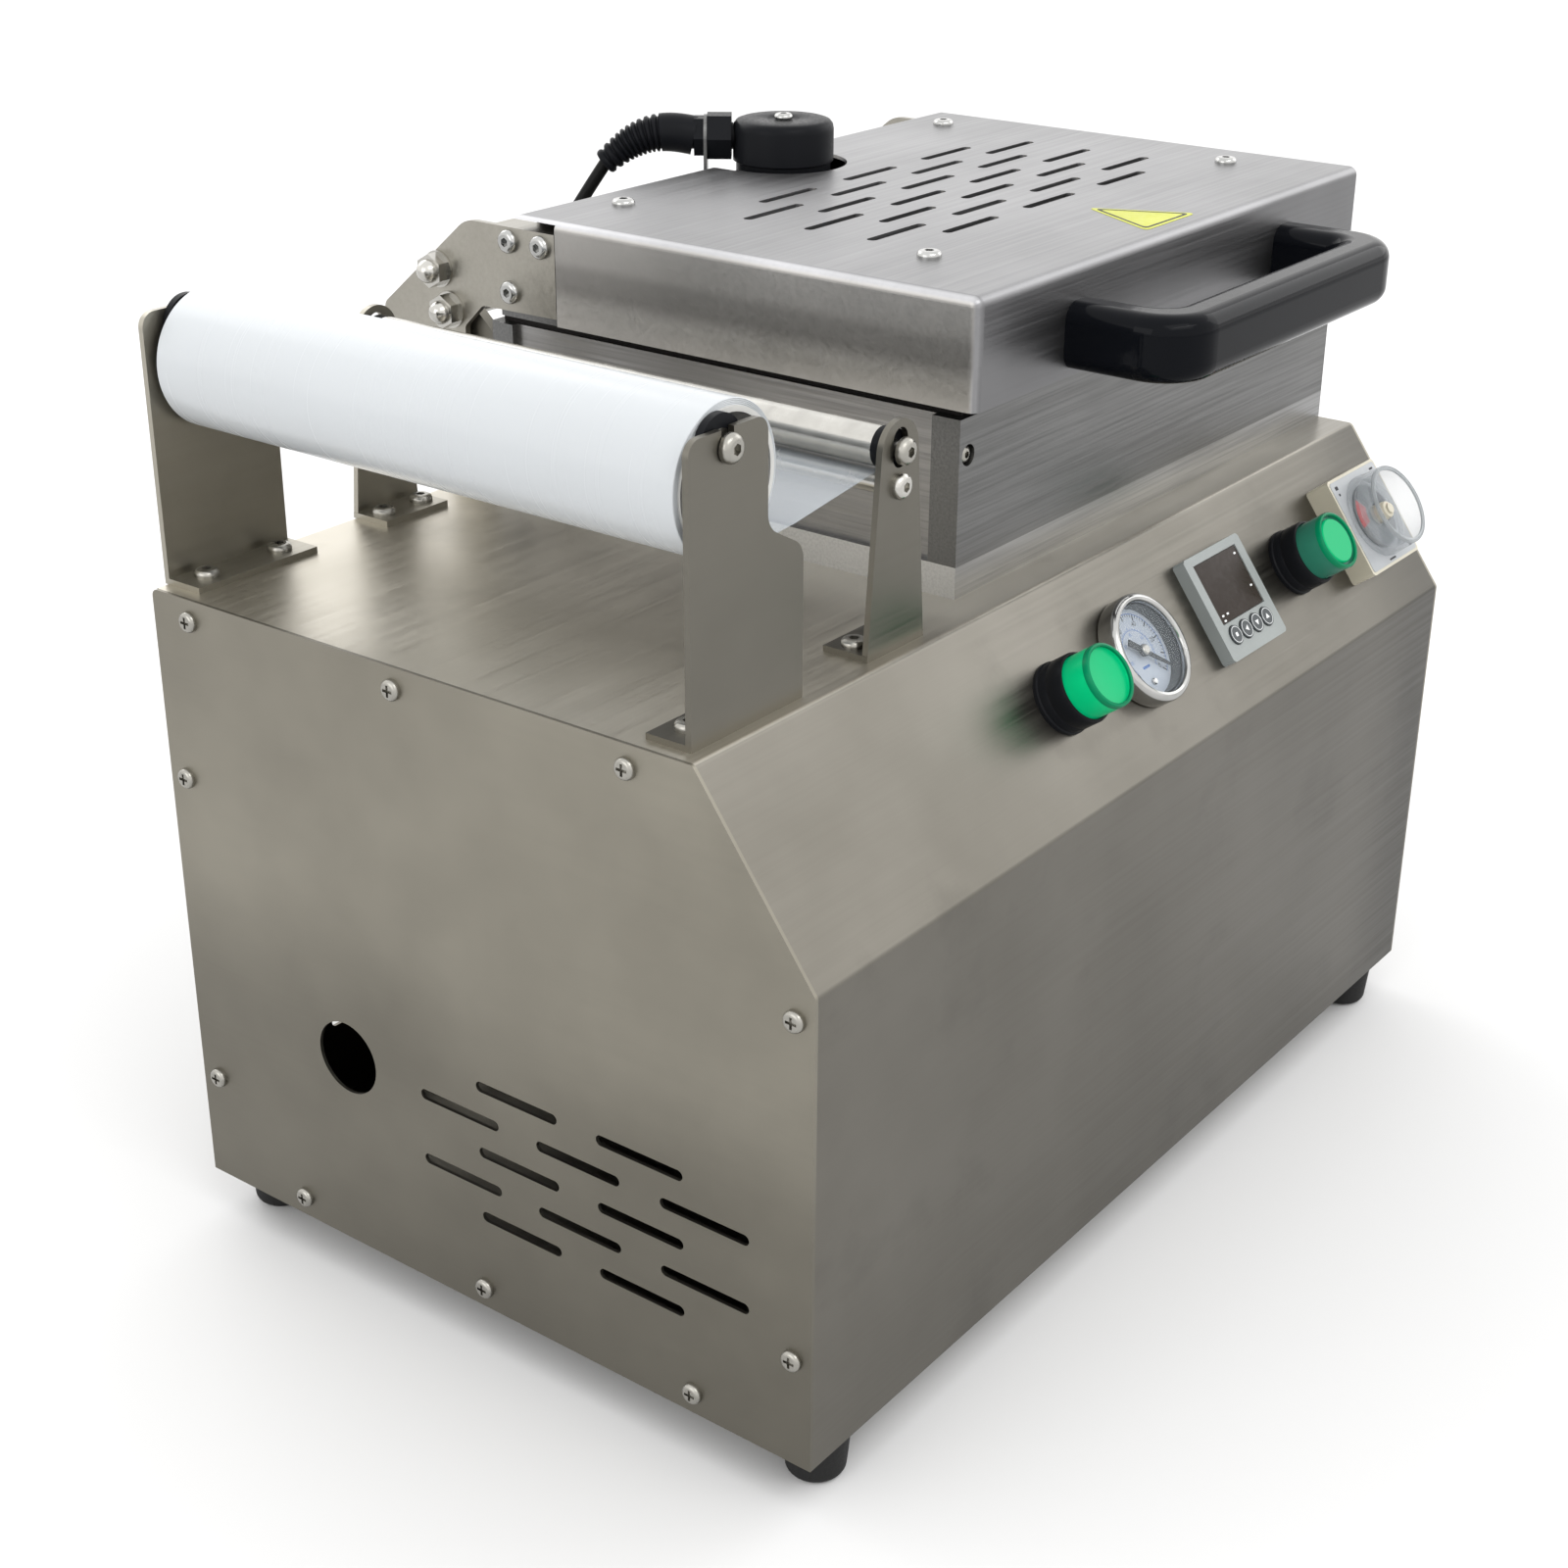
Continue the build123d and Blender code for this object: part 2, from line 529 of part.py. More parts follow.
# the rear corners are cut back to let the open hinge plates past
for x in (LID_X0, LID_X1):
    side_gap = HINGE_T + 0.4
    rear_end -= block(x - side_gap, x + side_gap, TOOL_Y1 - 5, TOOL_Y1 + 1, 318, TOOL_TOP + 1)
ends = [front_end - gasket, rear_end - gasket]
screw_left = side_x0 + 3.2
screw_right = 2 * TOOL_CX - screw_left
TOOL_SCREW_Z = 327.0
for index, x, y, sense in ((0, screw_left, TOOL_Y0, -1), (1, screw_left, TOOL_Y1, 1), (1, screw_right, TOOL_Y1, 1)):
    start = (x, y + sense, TOOL_SCREW_Z)
    sunk = (x, y - 4 * sense, TOOL_SCREW_Z)
    deep = (x, y - 24 * sense, TOOL_SCREW_Z)
    ends[index] -= rod(start, sunk, 4.3)
    ends[index] -= rod(start, deep, 2.1)
    sides = [side - rod(start, deep, 2.1) for side in sides]
    deck_screws.append(screw(sunk, (0, sense, 0), 3.8, 3.4, 2.0, 19))
nodes["tool_end_plates"] = ends
nodes["tool_side_plates"] = sides
nodes["deck_screws"] = deck_screws

carrier_x0 = side_x0 + SIDE_T + 0.5
carrier_x1 = side_x1 - SIDE_T - 0.5
carrier_y0 = TOOL_Y0 + END_T + 0.5
carrier_y1 = TOOL_Y1 - END_T - 0.5
CARRIER_Z0 = 333.0
CARRIER_Z1 = 341.0
CARRIER_GAP = 0.6
third = (carrier_x1 - carrier_x0 - 2 * CARRIER_GAP) / 3
carriers = []
heads = []
HEAD_Z0 = 346.8
HEAD_Z1 = 354.0
for column in (-1, 0, 1):
    x = TOOL_CX + CUP_PITCH_X * column
    middle = TOOL_CX + (third + CARRIER_GAP) * column
    carrier = block(middle - third / 2, middle + third / 2, carrier_y0, carrier_y1, CARRIER_Z0, CARRIER_Z1)
    for row in (-0.5, 0.5):
        y = TOOL_CY + CUP_PITCH_Y * row
        carrier -= rod((x, y, CARRIER_Z0 - 1), (x, y, CARRIER_Z1 + 1), CUP_R)
        carrier -= rod((x, y, CARRIER_Z1 - 2.5), (x, y, CARRIER_Z1 + 1), CUP_R + 4)
        heads.append(tube((x, y, HEAD_Z0), (x, y, HEAD_Z1), CUP_R + 4.5, CUP_R - 2))
    carriers.append(carrier)
nodes["cup_carrier"] = carriers
nodes["seal_heads"] = heads

POST_X = 47.5
POST_Y = 95.0
lift = block(TOOL_CX - 57, TOOL_CX + 57, TOOL_CY - 103, TOOL_CY + 103, 284.5, 290.5)
for dx in (-POST_X, POST_X):
    for dy in (-POST_Y, POST_Y):
        x = TOOL_CX + dx
        y = TOOL_CY + dy
        lift += rod((x, y, 290), (x, y, CARRIER_Z0), 8)
lift += rod((TOOL_CX, TOOL_CY, 222), (TOOL_CX, TOOL_CY, 285), ram_r)
lift += rod((TOOL_CX, TOOL_CY, 222), (TOOL_CX, TOOL_CY, 232), bore_r)
nodes["lift_frame"] = [lift]

# ================================================================ lid
shell = block(LID_X0, LID_X1, LID_Y0, LID_Y1, LID_Z0, LID_Z1)
hollow = block(
    LID_X0 + SHEET, LID_X1 - SHEET, LID_Y0 + SHEET, LID_Y1 - SHEET, LID_Z0 - 1, LID_Z1 - SHEET,
)


def folds(shape):
    # the upright edges at the front and every edge at the top
    return shape.edges().filter_by(Axis.Z).group_by(Axis.Y)[0] + shape.edges().group_by(Axis.Z)[-1]


cover = fillet(folds(shell), LID_EDGE) - fillet(folds(hollow), LID_EDGE - SHEET)
HINGE_NOTCH_Z = LID_Z1 - SHEET
MEMBER_W = 12.0              # width of the frame's side members
for x in (LID_X0, LID_X1):
    cover -= block(x - 4, x + 4, HINGE_Y0 - 0.3, LID_Y1 + 1, LID_Z0 - 1, HINGE_NOTCH_Z)
    reach = MEMBER_W + 4
    cover -= block(x - reach, x + reach, LID_Y1 - SHEET - 0.5, LID_Y1 + 1, LID_Z0 - 1, HINGE_NOTCH_Z)
cover -= block(LID_X0, LID_X1, LID_Y1 - SHEET - 0.5, LID_Y1 + 1, LID_Z0 - 1, LID_Z0 + 14)
cover -= rod((CAP_X, CAP_Y, LID_Z1 - 5), (CAP_X, CAP_Y, LID_Z1 + 5), CAP_R + 6.3)
cover -= block(CAP_X - 31, CAP_X + 30, CAP_Y + 4, LID_Y1 + 1, LID_Z0 - 1, LID_Z1 + 1)
for row in range(7):
    y = 228.3 - 15.75 * row
    count = 3 if row % 2 == 0 else 4
    for column in range(count):
        x = 346.3 + 61.5 * (column - (count - 1) / 2)
        place = Plane(origin=(x, y, LID_Z1), x_dir=(1, 0, 0), z_dir=(0, 0, 1))
        cover -= slot_cutter(place, 39, VENT_W, 5)

frame_x0 = LID_X0 + HINGE_T
frame_x1 = LID_X1 - HINGE_T
frame = block(frame_x0, frame_x1, 75, LID_Y1 - 2, 374, 379)
for x0 in (frame_x0, frame_x1 - MEMBER_W):
    frame += block(x0, x0 + MEMBER_W, 75, 304, 352, 379)
lid_screws = []
LID_SCREW_X = (225.0, 469.0)
LID_SCREW_Y = (114.0, 271.0)
for x in LID_SCREW_X:
    for y in LID_SCREW_Y:
        hole = rod((x, y, 375), (x, y, LID_Z1 + 1), 2.6)
        frame += rod((x, y, 379), (x, y, LID_Z1 - SHEET), 6)
        frame -= hole
        cover -= hole
        lid_screws.append(screw((x, y, LID_Z1), (0, 0, 1), 5.0, 2.8, 2.5, 14))


def by_gland(reach, z=GLAND_Z):
    # a place on the upright plane through the cap's and the gland's axes
    x = CAP_X + reach * cos(radians(GLAND_ANGLE))
    y = CAP_Y + reach * sin(radians(GLAND_ANGLE))
    return (x, y, z)


def gland_plane(reach):
    # square to the gland's axis, its Y pointing up
    along = (cos(radians(GLAND_ANGLE)), sin(radians(GLAND_ANGLE)), 0)
    return Plane(origin=by_gland(reach), x_dir=(-along[1], along[0], 0), z_dir=along)


# a tongue of the frame carries the gland's upright plate
GLAND_PLATE_R = 9.6
THREAD_R = 6.0
plate_drop = GLAND_Z - 374
plate_face = Circle(GLAND_PLATE_R)
plate_face += Pos(0, -plate_drop / 2) * Rectangle(2 * GLAND_PLATE_R, plate_drop)
plate_face -= Circle(THREAD_R + 0.1)
frame += block(CAP_X - 30.5, CAP_X - 11, LID_Y1 - 8, LID_Y1 + 17, 374, 377)
frame += extrude(gland_plane(GLAND_REACH) * plate_face, amount=SHEET)

handle_outline = [
    (TOOL_CX - HANDLE_HALF, LID_Y0), (TOOL_CX - HANDLE_HALF, LID_Y0 - HANDLE_REACH),
    (TOOL_CX + HANDLE_HALF, LID_Y0 - HANDLE_REACH), (TOOL_CX + HANDLE_HALF, LID_Y0),
    (TOOL_CX + HANDLE_HALF - HANDLE_W, LID_Y0), (TOOL_CX + HANDLE_HALF - HANDLE_W, LID_Y0 - HANDLE_REACH + HANDLE_W),
    (TOOL_CX - HANDLE_HALF + HANDLE_W, LID_Y0 - HANDLE_REACH + HANDLE_W), (TOOL_CX - HANDLE_HALF + HANDLE_W, LID_Y0),
]
handle = prism_z(
    outline(handle_outline, {1: 24, 2: 24, 5: 8, 6: 8}), HANDLE_Z - HANDLE_H / 2, HANDLE_Z + HANDLE_H / 2,
)
handle = fillet(handle.edges().filter_by(lambda e: abs(e.tangent_at(0.5).Z) < 0.01 and e.center().Y < LID_Y0 - 0.1), 7.5)
GRIP_X = HANDLE_HALF - HANDLE_W / 2
for sense in (-1, 1):
    x = TOOL_CX + sense * GRIP_X
    hole = rod((x, LID_Y0 - 18, HANDLE_Z), (x, LID_Y0 + 6, HANDLE_Z), 4.1)
    handle -= hole
    cover -= hole
    lid_screws.append(screw((x, LID_Y0 + SHEET, HANDLE_Z), (0, 1, 0), 7.0, 4.5, 4.0, 17))
nodes["handle"] = [handle]
nodes["lid_cover"] = [cover]

heater = block(199, 484, 86, 291, HEAD_Z1, 366)
cartridges = []
for index in range(4):
    y = 113 + 52 * index
    heater -= rod((190, y, 360), (485, y, 360), 4.1)
    cartridges.append(rod((203, y, 360), (480, y, 360), 4.0))
heater += block(230, 453, 120, 262, 366, 374)
nodes["heater_plate"] = [heater] + cartridges
clamp = ring(186.5, 496.5, 71.5, 308, 344.4, 352, 8.4)
nodes["film_clamp_frame"] = [clamp]

HINGE_TOP = 384.5
hinge_shape = [
    (HINGE_Y0, 349), (HINGE_Y0, HINGE_TOP), (322, HINGE_TOP), (374, 341), (374, 330), (362, 318),
    (336, 318), (325, 329), (325, 338), (314, 348.5),
]
hinge_face = outline(hinge_shape, {2: 14, 3: 5, 4: 5, 5: 6, 6: 6, 7: 4, 8: 3, 9: 3})
hinge_face -= Pos(PIVOT_Y, PIVOT_Z) * Circle(HINGE_ROD_R)
hinge_face -= Pos(TIE_Y, TIE_Z) * Circle(HINGE_ROD_R)
hinge_screw_places = ((297, 378.5), (279, 378.5), (297, 357))
frame_holes = []
for y, z in hinge_screw_places:
    hinge_face -= Pos(y, z) * Circle(2.6)
    for x, sense in ((LID_X0, -1), (LID_X1, 1)):
        hole = rod((x, y, z), (x - 15 * sense, y, z), 2.6)
        if z < 374:
            frame_holes.append(hole)
        lid_screws.append(screw((x, y, z), (sense, 0, 0), 5.0, 3.0, 2.5, 3 if z > 374 else 12))
for hole in frame_holes:
    frame -= hole
nodes["lid_frame"] = [frame]
hinge_left = prism_x(hinge_face, LID_X0, LID_X0 + HINGE_T)
hinge_left += block(LID_X0 + HINGE_T / 2, LID_X0 + 14, HINGE_Y0, 307, HINGE_TOP - HINGE_T, HINGE_TOP)
nodes["hinge_plates"] = [hinge_left, mirrored_x(hinge_left)]

rods = []
for y, z in ((PIVOT_Y, PIVOT_Z), (TIE_Y, TIE_Z)):
    bar = rod((LID_X0 - 1, y, z), (LID_X1 + 1, y, z), HINGE_ROD_R)
    for x, sense in ((LID_X0, -1), (LID_X1, 1)):
        bar += rod((x, y, z), (x + 1.2 * sense, y, z), 8)
        nut_x = x + 1.2 * sense
        nut = Plane(origin=(nut_x, y, z), z_dir=(sense, 0, 0))
        bar += extrude(nut * RegularPolygon(7.4, 6), 5.5)
        dome = Pos(nut_x + 5.5 * sense, y, z) * Sphere(5.2)
        bar += dome
    rods.append(bar)
nodes["hinge_rods"] = rods

WEB_X0 = 186.5
WEB_X1 = 191.5
bracket_shape = [
    (DEPTH, 200), (PIVOT_Y + 10, 200), (PIVOT_Y + 10, PIVOT_Z), (PIVOT_Y - 10, PIVOT_Z),
    (314, 336), (314, DECK + 0.5), (DEPTH, DECK + 0.5),
]
bracket_face = outline(bracket_shape) + Pos(PIVOT_Y, PIVOT_Z) * Circle(10)
bracket_face -= Pos(PIVOT_Y, PIVOT_Z) * Circle(HINGE_ROD_R + RUN)
hinge_bracket = prism_x(bracket_face, WEB_X0, WEB_X1)
hinge_bracket += block(WEB_X1 - 1, WEB_X1 + 28, DEPTH, DEPTH + 3, 205, 262)
bolt_x = WEB_X1 + 15
for z in (218, 249):
    for x in (bolt_x, 2 * TOOL_CX - bolt_x):
        hole = rod((x, DEPTH - 6, z), (x, DEPTH + 4, z), 3.1)
        rear -= hole
        wrap -= hole
        hinge_bracket -= hole
        deck_screws.append(screw((x, DEPTH + 3, z), (0, 1, 0), 5.6, 3.4, 3.0, 12))
nodes["hinge_brackets"] = [hinge_bracket, mirrored_x(hinge_bracket)]

# ================================================================ heater cable
cap_solid = rod((CAP_X, CAP_Y, LID_Z1 - 11), (CAP_X, CAP_Y, CAP_TOP), CAP_R)
cap_solid = fillet(cap_solid.edges().sort_by(Axis.Z)[-1], 2.5)
cap_solid -= rod((CAP_X, CAP_Y, CAP_TOP - 8), (CAP_X, CAP_Y, CAP_TOP + 1), 2.1)
nodes["terminal_cap"] = [cap_solid]
lid_screws.append(screw((CAP_X, CAP_Y, CAP_TOP), (0, 0, 1), 4.2, 2.4, 2.0, 7))
nodes["lid_screws"] = lid_screws

nut = RegularPolygon(GLAND_PLATE_R, 6)
NUT_IN = CAP_R + 0.6
NUT_IN_R = 11.2
nut_in = extrude(gland_plane(NUT_IN) * RegularPolygon(NUT_IN_R, 6), amount=GLAND_REACH - NUT_IN)
thread = extrude(gland_plane(CAP_R - 1) * Circle(THREAD_R), amount=GLAND_REACH + 10 - CAP_R)
NUT_OUT = GLAND_REACH + SHEET
NUT_OUT_T = 4.5
nut_out = extrude(gland_plane(NUT_OUT) * nut, amount=NUT_OUT_T)
gland = (nut_in + thread + nut_out) - cap_solid
nodes["cable_gland"] = [gland]

# distance from the cap's axis, height and radius along the strain relief
relief_stations = [
    (NUT_OUT + NUT_OUT_T, GLAND_Z, 8.8), (50, 403.4, 8.6), (59, 402.4, 8.4),
    (67, 399.2, 7.8), (74.2, 395, 7.0), (82.5, 389, 5.8),
]
relief = None
for (reach, z, first), (end_reach, end_z, last) in zip(relief_stations, relief_stations[1:]):
    start = by_gland(reach, z)
    end = by_gland(end_reach, end_z)
    direction = Vector(*end) - Vector(*start)
    span = loft([
        Plane(origin=start, z_dir=direction) * Circle(first),
        Plane(origin=end, z_dir=direction) * Circle(last),
    ])
    knuckle = Pos(*end) * Sphere(last)
    relief = span + knuckle if relief is None else relief + span + knuckle

cable_points = [
    by_gland(81, 390.5), by_gland(98, 366), (275, 368, 335), (267, 371, 295),
    (263, 369, 250), (CABLE_IN_X, 364, 215), (CABLE_IN_X, 350, 196), (CABLE_IN_X, 335, CABLE_IN_Z),
]


def bend_radii(points):
    radii = []
    for before, corner, after in zip(points, points[1:], points[2:]):
        into = Vector(*corner) - Vector(*before)
        out = Vector(*after) - Vector(*corner)
        turn = radians(into.get_angle(out))
        radii.append(0.45 * min(into.length, out.length) / tan(turn / 2))
    return radii


cable_radii = bend_radii(cable_points)
print("cable bend radii", [round(r, 1) for r in cable_radii])
cable_path = FilletPolyline(*cable_points, radius=cable_radii)
cable = sweep(Plane(origin=cable_path @ 0, z_dir=cable_path % 0) * Circle(CABLE_R), path=cable_path)
print("cable volume ratio", cable.volume / (pi * CABLE_R ** 2 * cable_path.length), cable_path.length)
nodes["heater_cable"] = [cable]
nodes["strain_relief"] = [relief - gland - cable]
entry = rod((CABLE_IN_X, DEPTH - 8, CABLE_IN_Z), (CABLE_IN_X, DEPTH, CABLE_IN_Z), 6)
entry += prism_y(Pos(CABLE_IN_X, CABLE_IN_Z) * RegularPolygon(10, 6), DEPTH, DEPTH + 6)
entry += rod((CABLE_IN_X, DEPTH + 6, CABLE_IN_Z), (CABLE_IN_X, DEPTH + 10, CABLE_IN_Z), 7)
nodes["cable_entry"] = [entry - cable]

nodes["wrap_cover"] = [wrap]
nodes["side_panel_left"] = [left_panel]
nodes["side_panel_right"] = [right_panel]
nodes["rear_panel"] = [rear]
nodes["base_plate"] = [base]

# ================================================================ origin and files
everything = Compound([shape for shapes in nodes.values() for shape in shapes])
box = everything.bounding_box()
shift = Vector(-(box.min.X + box.max.X) / 2, -(box.min.Y + box.max.Y) / 2, -box.min.Z)
print("nodes", len(nodes), "size", box.size, "shift", shift.X, shift.Y, shift.Z)
os.makedirs("parts", exist_ok=True)
for name, shapes in nodes.items():
    solids = [solid for shape in shapes for solid in shape.solids()]
    placed = Pos(shift.X, shift.Y, shift.Z) * Compound(solids)
    export_step(placed, "parts/" + name + ".step")
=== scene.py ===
from math import cos, hypot, pi, radians, sin

import bmesh
import bpy
from mathutils import Matrix, Vector


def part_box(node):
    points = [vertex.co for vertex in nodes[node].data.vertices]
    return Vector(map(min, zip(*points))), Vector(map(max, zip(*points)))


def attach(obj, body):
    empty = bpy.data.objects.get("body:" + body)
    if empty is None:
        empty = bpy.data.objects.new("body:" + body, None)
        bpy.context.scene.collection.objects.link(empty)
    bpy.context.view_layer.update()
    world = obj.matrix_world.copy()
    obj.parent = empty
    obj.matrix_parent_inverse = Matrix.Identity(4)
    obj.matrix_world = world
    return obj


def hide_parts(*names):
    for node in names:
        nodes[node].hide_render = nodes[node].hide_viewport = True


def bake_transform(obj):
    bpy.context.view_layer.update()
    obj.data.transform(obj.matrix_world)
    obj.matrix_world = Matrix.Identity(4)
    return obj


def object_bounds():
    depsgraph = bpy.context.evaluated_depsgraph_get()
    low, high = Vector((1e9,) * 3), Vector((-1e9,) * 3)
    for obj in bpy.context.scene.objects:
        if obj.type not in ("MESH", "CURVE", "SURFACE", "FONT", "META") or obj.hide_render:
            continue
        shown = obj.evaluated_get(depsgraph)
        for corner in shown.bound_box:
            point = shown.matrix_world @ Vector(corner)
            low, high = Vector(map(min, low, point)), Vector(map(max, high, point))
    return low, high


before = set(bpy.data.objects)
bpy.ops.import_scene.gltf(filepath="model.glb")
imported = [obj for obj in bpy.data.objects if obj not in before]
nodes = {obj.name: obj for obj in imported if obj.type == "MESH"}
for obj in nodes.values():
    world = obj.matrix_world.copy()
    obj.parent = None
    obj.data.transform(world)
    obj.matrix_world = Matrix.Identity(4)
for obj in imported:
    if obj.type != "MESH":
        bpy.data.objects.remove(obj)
CAD_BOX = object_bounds()
MM = 0.001

# ---------------------------------------------------------------- places
# All places are written in the machine's own frame, millimetres: x from the left panel,
# y from the front panel, z from the cabinet's underside.
COVER_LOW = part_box("wrap_cover")[0]
CORNER = Vector((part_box("side_panel_left")[0].x, COVER_LOW.y, COVER_LOW.z))
DECK = 270.0
SLOPE_Z = 199.0
SLOPE_Y = 52.0
ROW_V = 45.0
LID_TOP = 390.0
LAMP_X = 195.0
GAUGE_X = 254.0
CONTROL_X = 330.0
BUTTON_X = 392.0
TIMER_X = 455.0
STICKER_X = 341.0
STICKER_Y = 85.0
CAP_X = 344.0
CAP_Y = 276.0


def at(x, y, z):
    return CORNER + Vector((x, y, z)) * MM


SLOPE_LEN = hypot(SLOPE_Y, DECK - SLOPE_Z)
SLOPE_UP = Vector((0, SLOPE_Y, DECK - SLOPE_Z)) / SLOPE_LEN
SLOPE_OUT = Vector((0, SLOPE_Z - DECK, SLOPE_Y)) / SLOPE_LEN


def axes_matrix(origin, x_axis, y_axis, z_axis):
    rotation = Matrix((x_axis, y_axis, z_axis)).transposed().to_4x4()
    return Matrix.Translation(origin) @ rotation


def slope_matrix(x, v=ROW_V, lift=0.0):
    origin = at(x, 0, SLOPE_Z) + (SLOPE_UP * v + SLOPE_OUT * lift) * MM
    return axes_matrix(origin, Vector((1, 0, 0)), SLOPE_UP, SLOPE_OUT)


def upright(x, y, z):
    return Matrix.Translation(at(x, y, z))


def along(origin, direction):
    rotation = Vector(direction).to_track_quat("Z", "Y").to_matrix().to_4x4()
    return Matrix.Translation(at(*origin)) @ rotation


# ---------------------------------------------------------------- material tools
class Nodes:
    """Short calls for building one material's node tree."""

    def __init__(self, name):
        self.material = bpy.data.materials.new(name)
        self.material.use_nodes = True
        self.tree = self.material.node_tree
        self.shader = self.tree.nodes["Principled BSDF"]

    def add(self, kind, **settings):
        node = self.tree.nodes.new(kind)
        for key, value in settings.items():
            setattr(node, key, value)
        return node

    def link(self, source, target):
        self.tree.links.new(source, target)

    def set(self, **values):
        for key, value in values.items():
            self.shader.inputs[key.replace("_", " ")].default_value = value

    def place(self, scale=(1, 1, 1)):
        coordinates = self.add("ShaderNodeTexCoord")
        mapping = self.add("ShaderNodeMapping")
        mapping.inputs["Scale"].default_value = scale
        self.link(coordinates.outputs["Object"], mapping.inputs["Vector"])
        return mapping.outputs["Vector"]

    def noise(self, scale, detail=3.0, stretch=(1, 1, 1), roughness=0.55):
        node = self.add("ShaderNodeTexNoise")
        node.inputs["Scale"].default_value = scale
        node.inputs["Detail"].default_value = detail
        node.inputs["Roughness"].default_value = roughness
        self.link(self.place(stretch), node.inputs["Vector"])
        return node.outputs["Fac"]

    def ramp(self, value, low, high, start=0.35, end=0.65):
        node = self.add("ShaderNodeMapRange")
        node.inputs["From Min"].default_value = start
        node.inputs["From Max"].default_value = end
        node.inputs["To Min"].default_value = low
        node.inputs["To Max"].default_value = high
        self.link(value, node.inputs["Value"])
        return node.outputs["Result"]

    def mix(self, factor, first, second):
        node = self.add("ShaderNodeMix", data_type="RGBA")
        self.link(factor, node.inputs["Factor"])
        for colour, socket in ((first, node.inputs["A"]), (second, node.inputs["B"])):
            if isinstance(colour, bpy.types.NodeSocket):
                self.link(colour, socket)
            else:
                socket.default_value = (*colour, 1)
        return node.outputs["Result"]

    def facing(self, colour, axis, sense, factor):
        """Painted light: multiplies the colour by factor on the faces that look along one way of an axis,
        lighter or darker by how the light falls on that side.
        """
        geometry = self.add("ShaderNodeNewGeometry")
        parts = self.add("ShaderNodeSeparateXYZ")
        self.link(geometry.outputs["Normal"], parts.inputs[0])
        share = self.ramp(parts.outputs[axis], 0.0, 1.0, 0.8 * sense, 0.97 * sense)
        return self.mix(share, colour, self.scaled(colour, factor))

    def scaled(self, colour, factor):
        node = self.add("ShaderNodeMix", data_type="RGBA", blend_type="MULTIPLY")
        node.inputs["Factor"].default_value = 1.0
        node.clamp_result = False
        self.link(colour, node.inputs["A"])
        if isinstance(factor, bpy.types.NodeSocket):
            self.link(factor, node.inputs["B"])
        elif isinstance(factor, tuple):
            node.inputs["B"].default_value = (*factor, 1)
        else:
            node.inputs["B"].default_value = (factor, factor, factor, 1)
        return node.outputs["Result"]

    def painted_fold_highlight(self, colour, factor):
        """Painted highlight: multiplies the colour by factor where the surface turns from the left side to
        the top.
        """
        geometry = self.add("ShaderNodeNewGeometry")
        parts = self.add("ShaderNodeSeparateXYZ")
        self.link(geometry.outputs["Normal"], parts.inputs[0])
        product = self.add("ShaderNodeMath", operation="MULTIPLY")
        self.link(parts.outputs["X"], product.inputs[0])
        self.link(parts.outputs["Z"], product.inputs[1])
        share = self.ramp(product.outputs[0], 0.0, 1.0, -0.2, -0.48)
        return self.mix(share, colour, self.scaled(colour, factor))

    def shading(self, axis, stops):
        """Painted light and shade: brightness along one axis of the piece's box, from (place, brightness)
        stops, at most 2.
        """
        coordinates = self.add("ShaderNodeTexCoord")
        parts = self.add("ShaderNodeSeparateXYZ")
        self.link(coordinates.outputs["Generated"], parts.inputs[0])
        shades = self.add("ShaderNodeValToRGB")
        shades.color_ramp.interpolation = "EASE"
        elements = shades.color_ramp.elements
        elements[0].position, elements[1].position = stops[0][0], stops[-1][0]
        for place, _ in stops[1:-1]:
            elements.new(place)
        for element, (_, value) in zip(elements, stops):
            element.color = (value / 2, value / 2, value / 2, 1)
        self.link(parts.outputs[axis], shades.inputs["Fac"])
        return self.scaled(shades.outputs["Color"], 2.0)

    def bump(self, height, strength, distance=0.0004):
        node = self.add("ShaderNodeBump")
        node.inputs["Strength"].default_value = strength
        node.inputs["Distance"].default_value = distance
        self.link(height, node.inputs["Height"])
        self.link(node.outputs["Normal"], self.shader.inputs["Normal"])


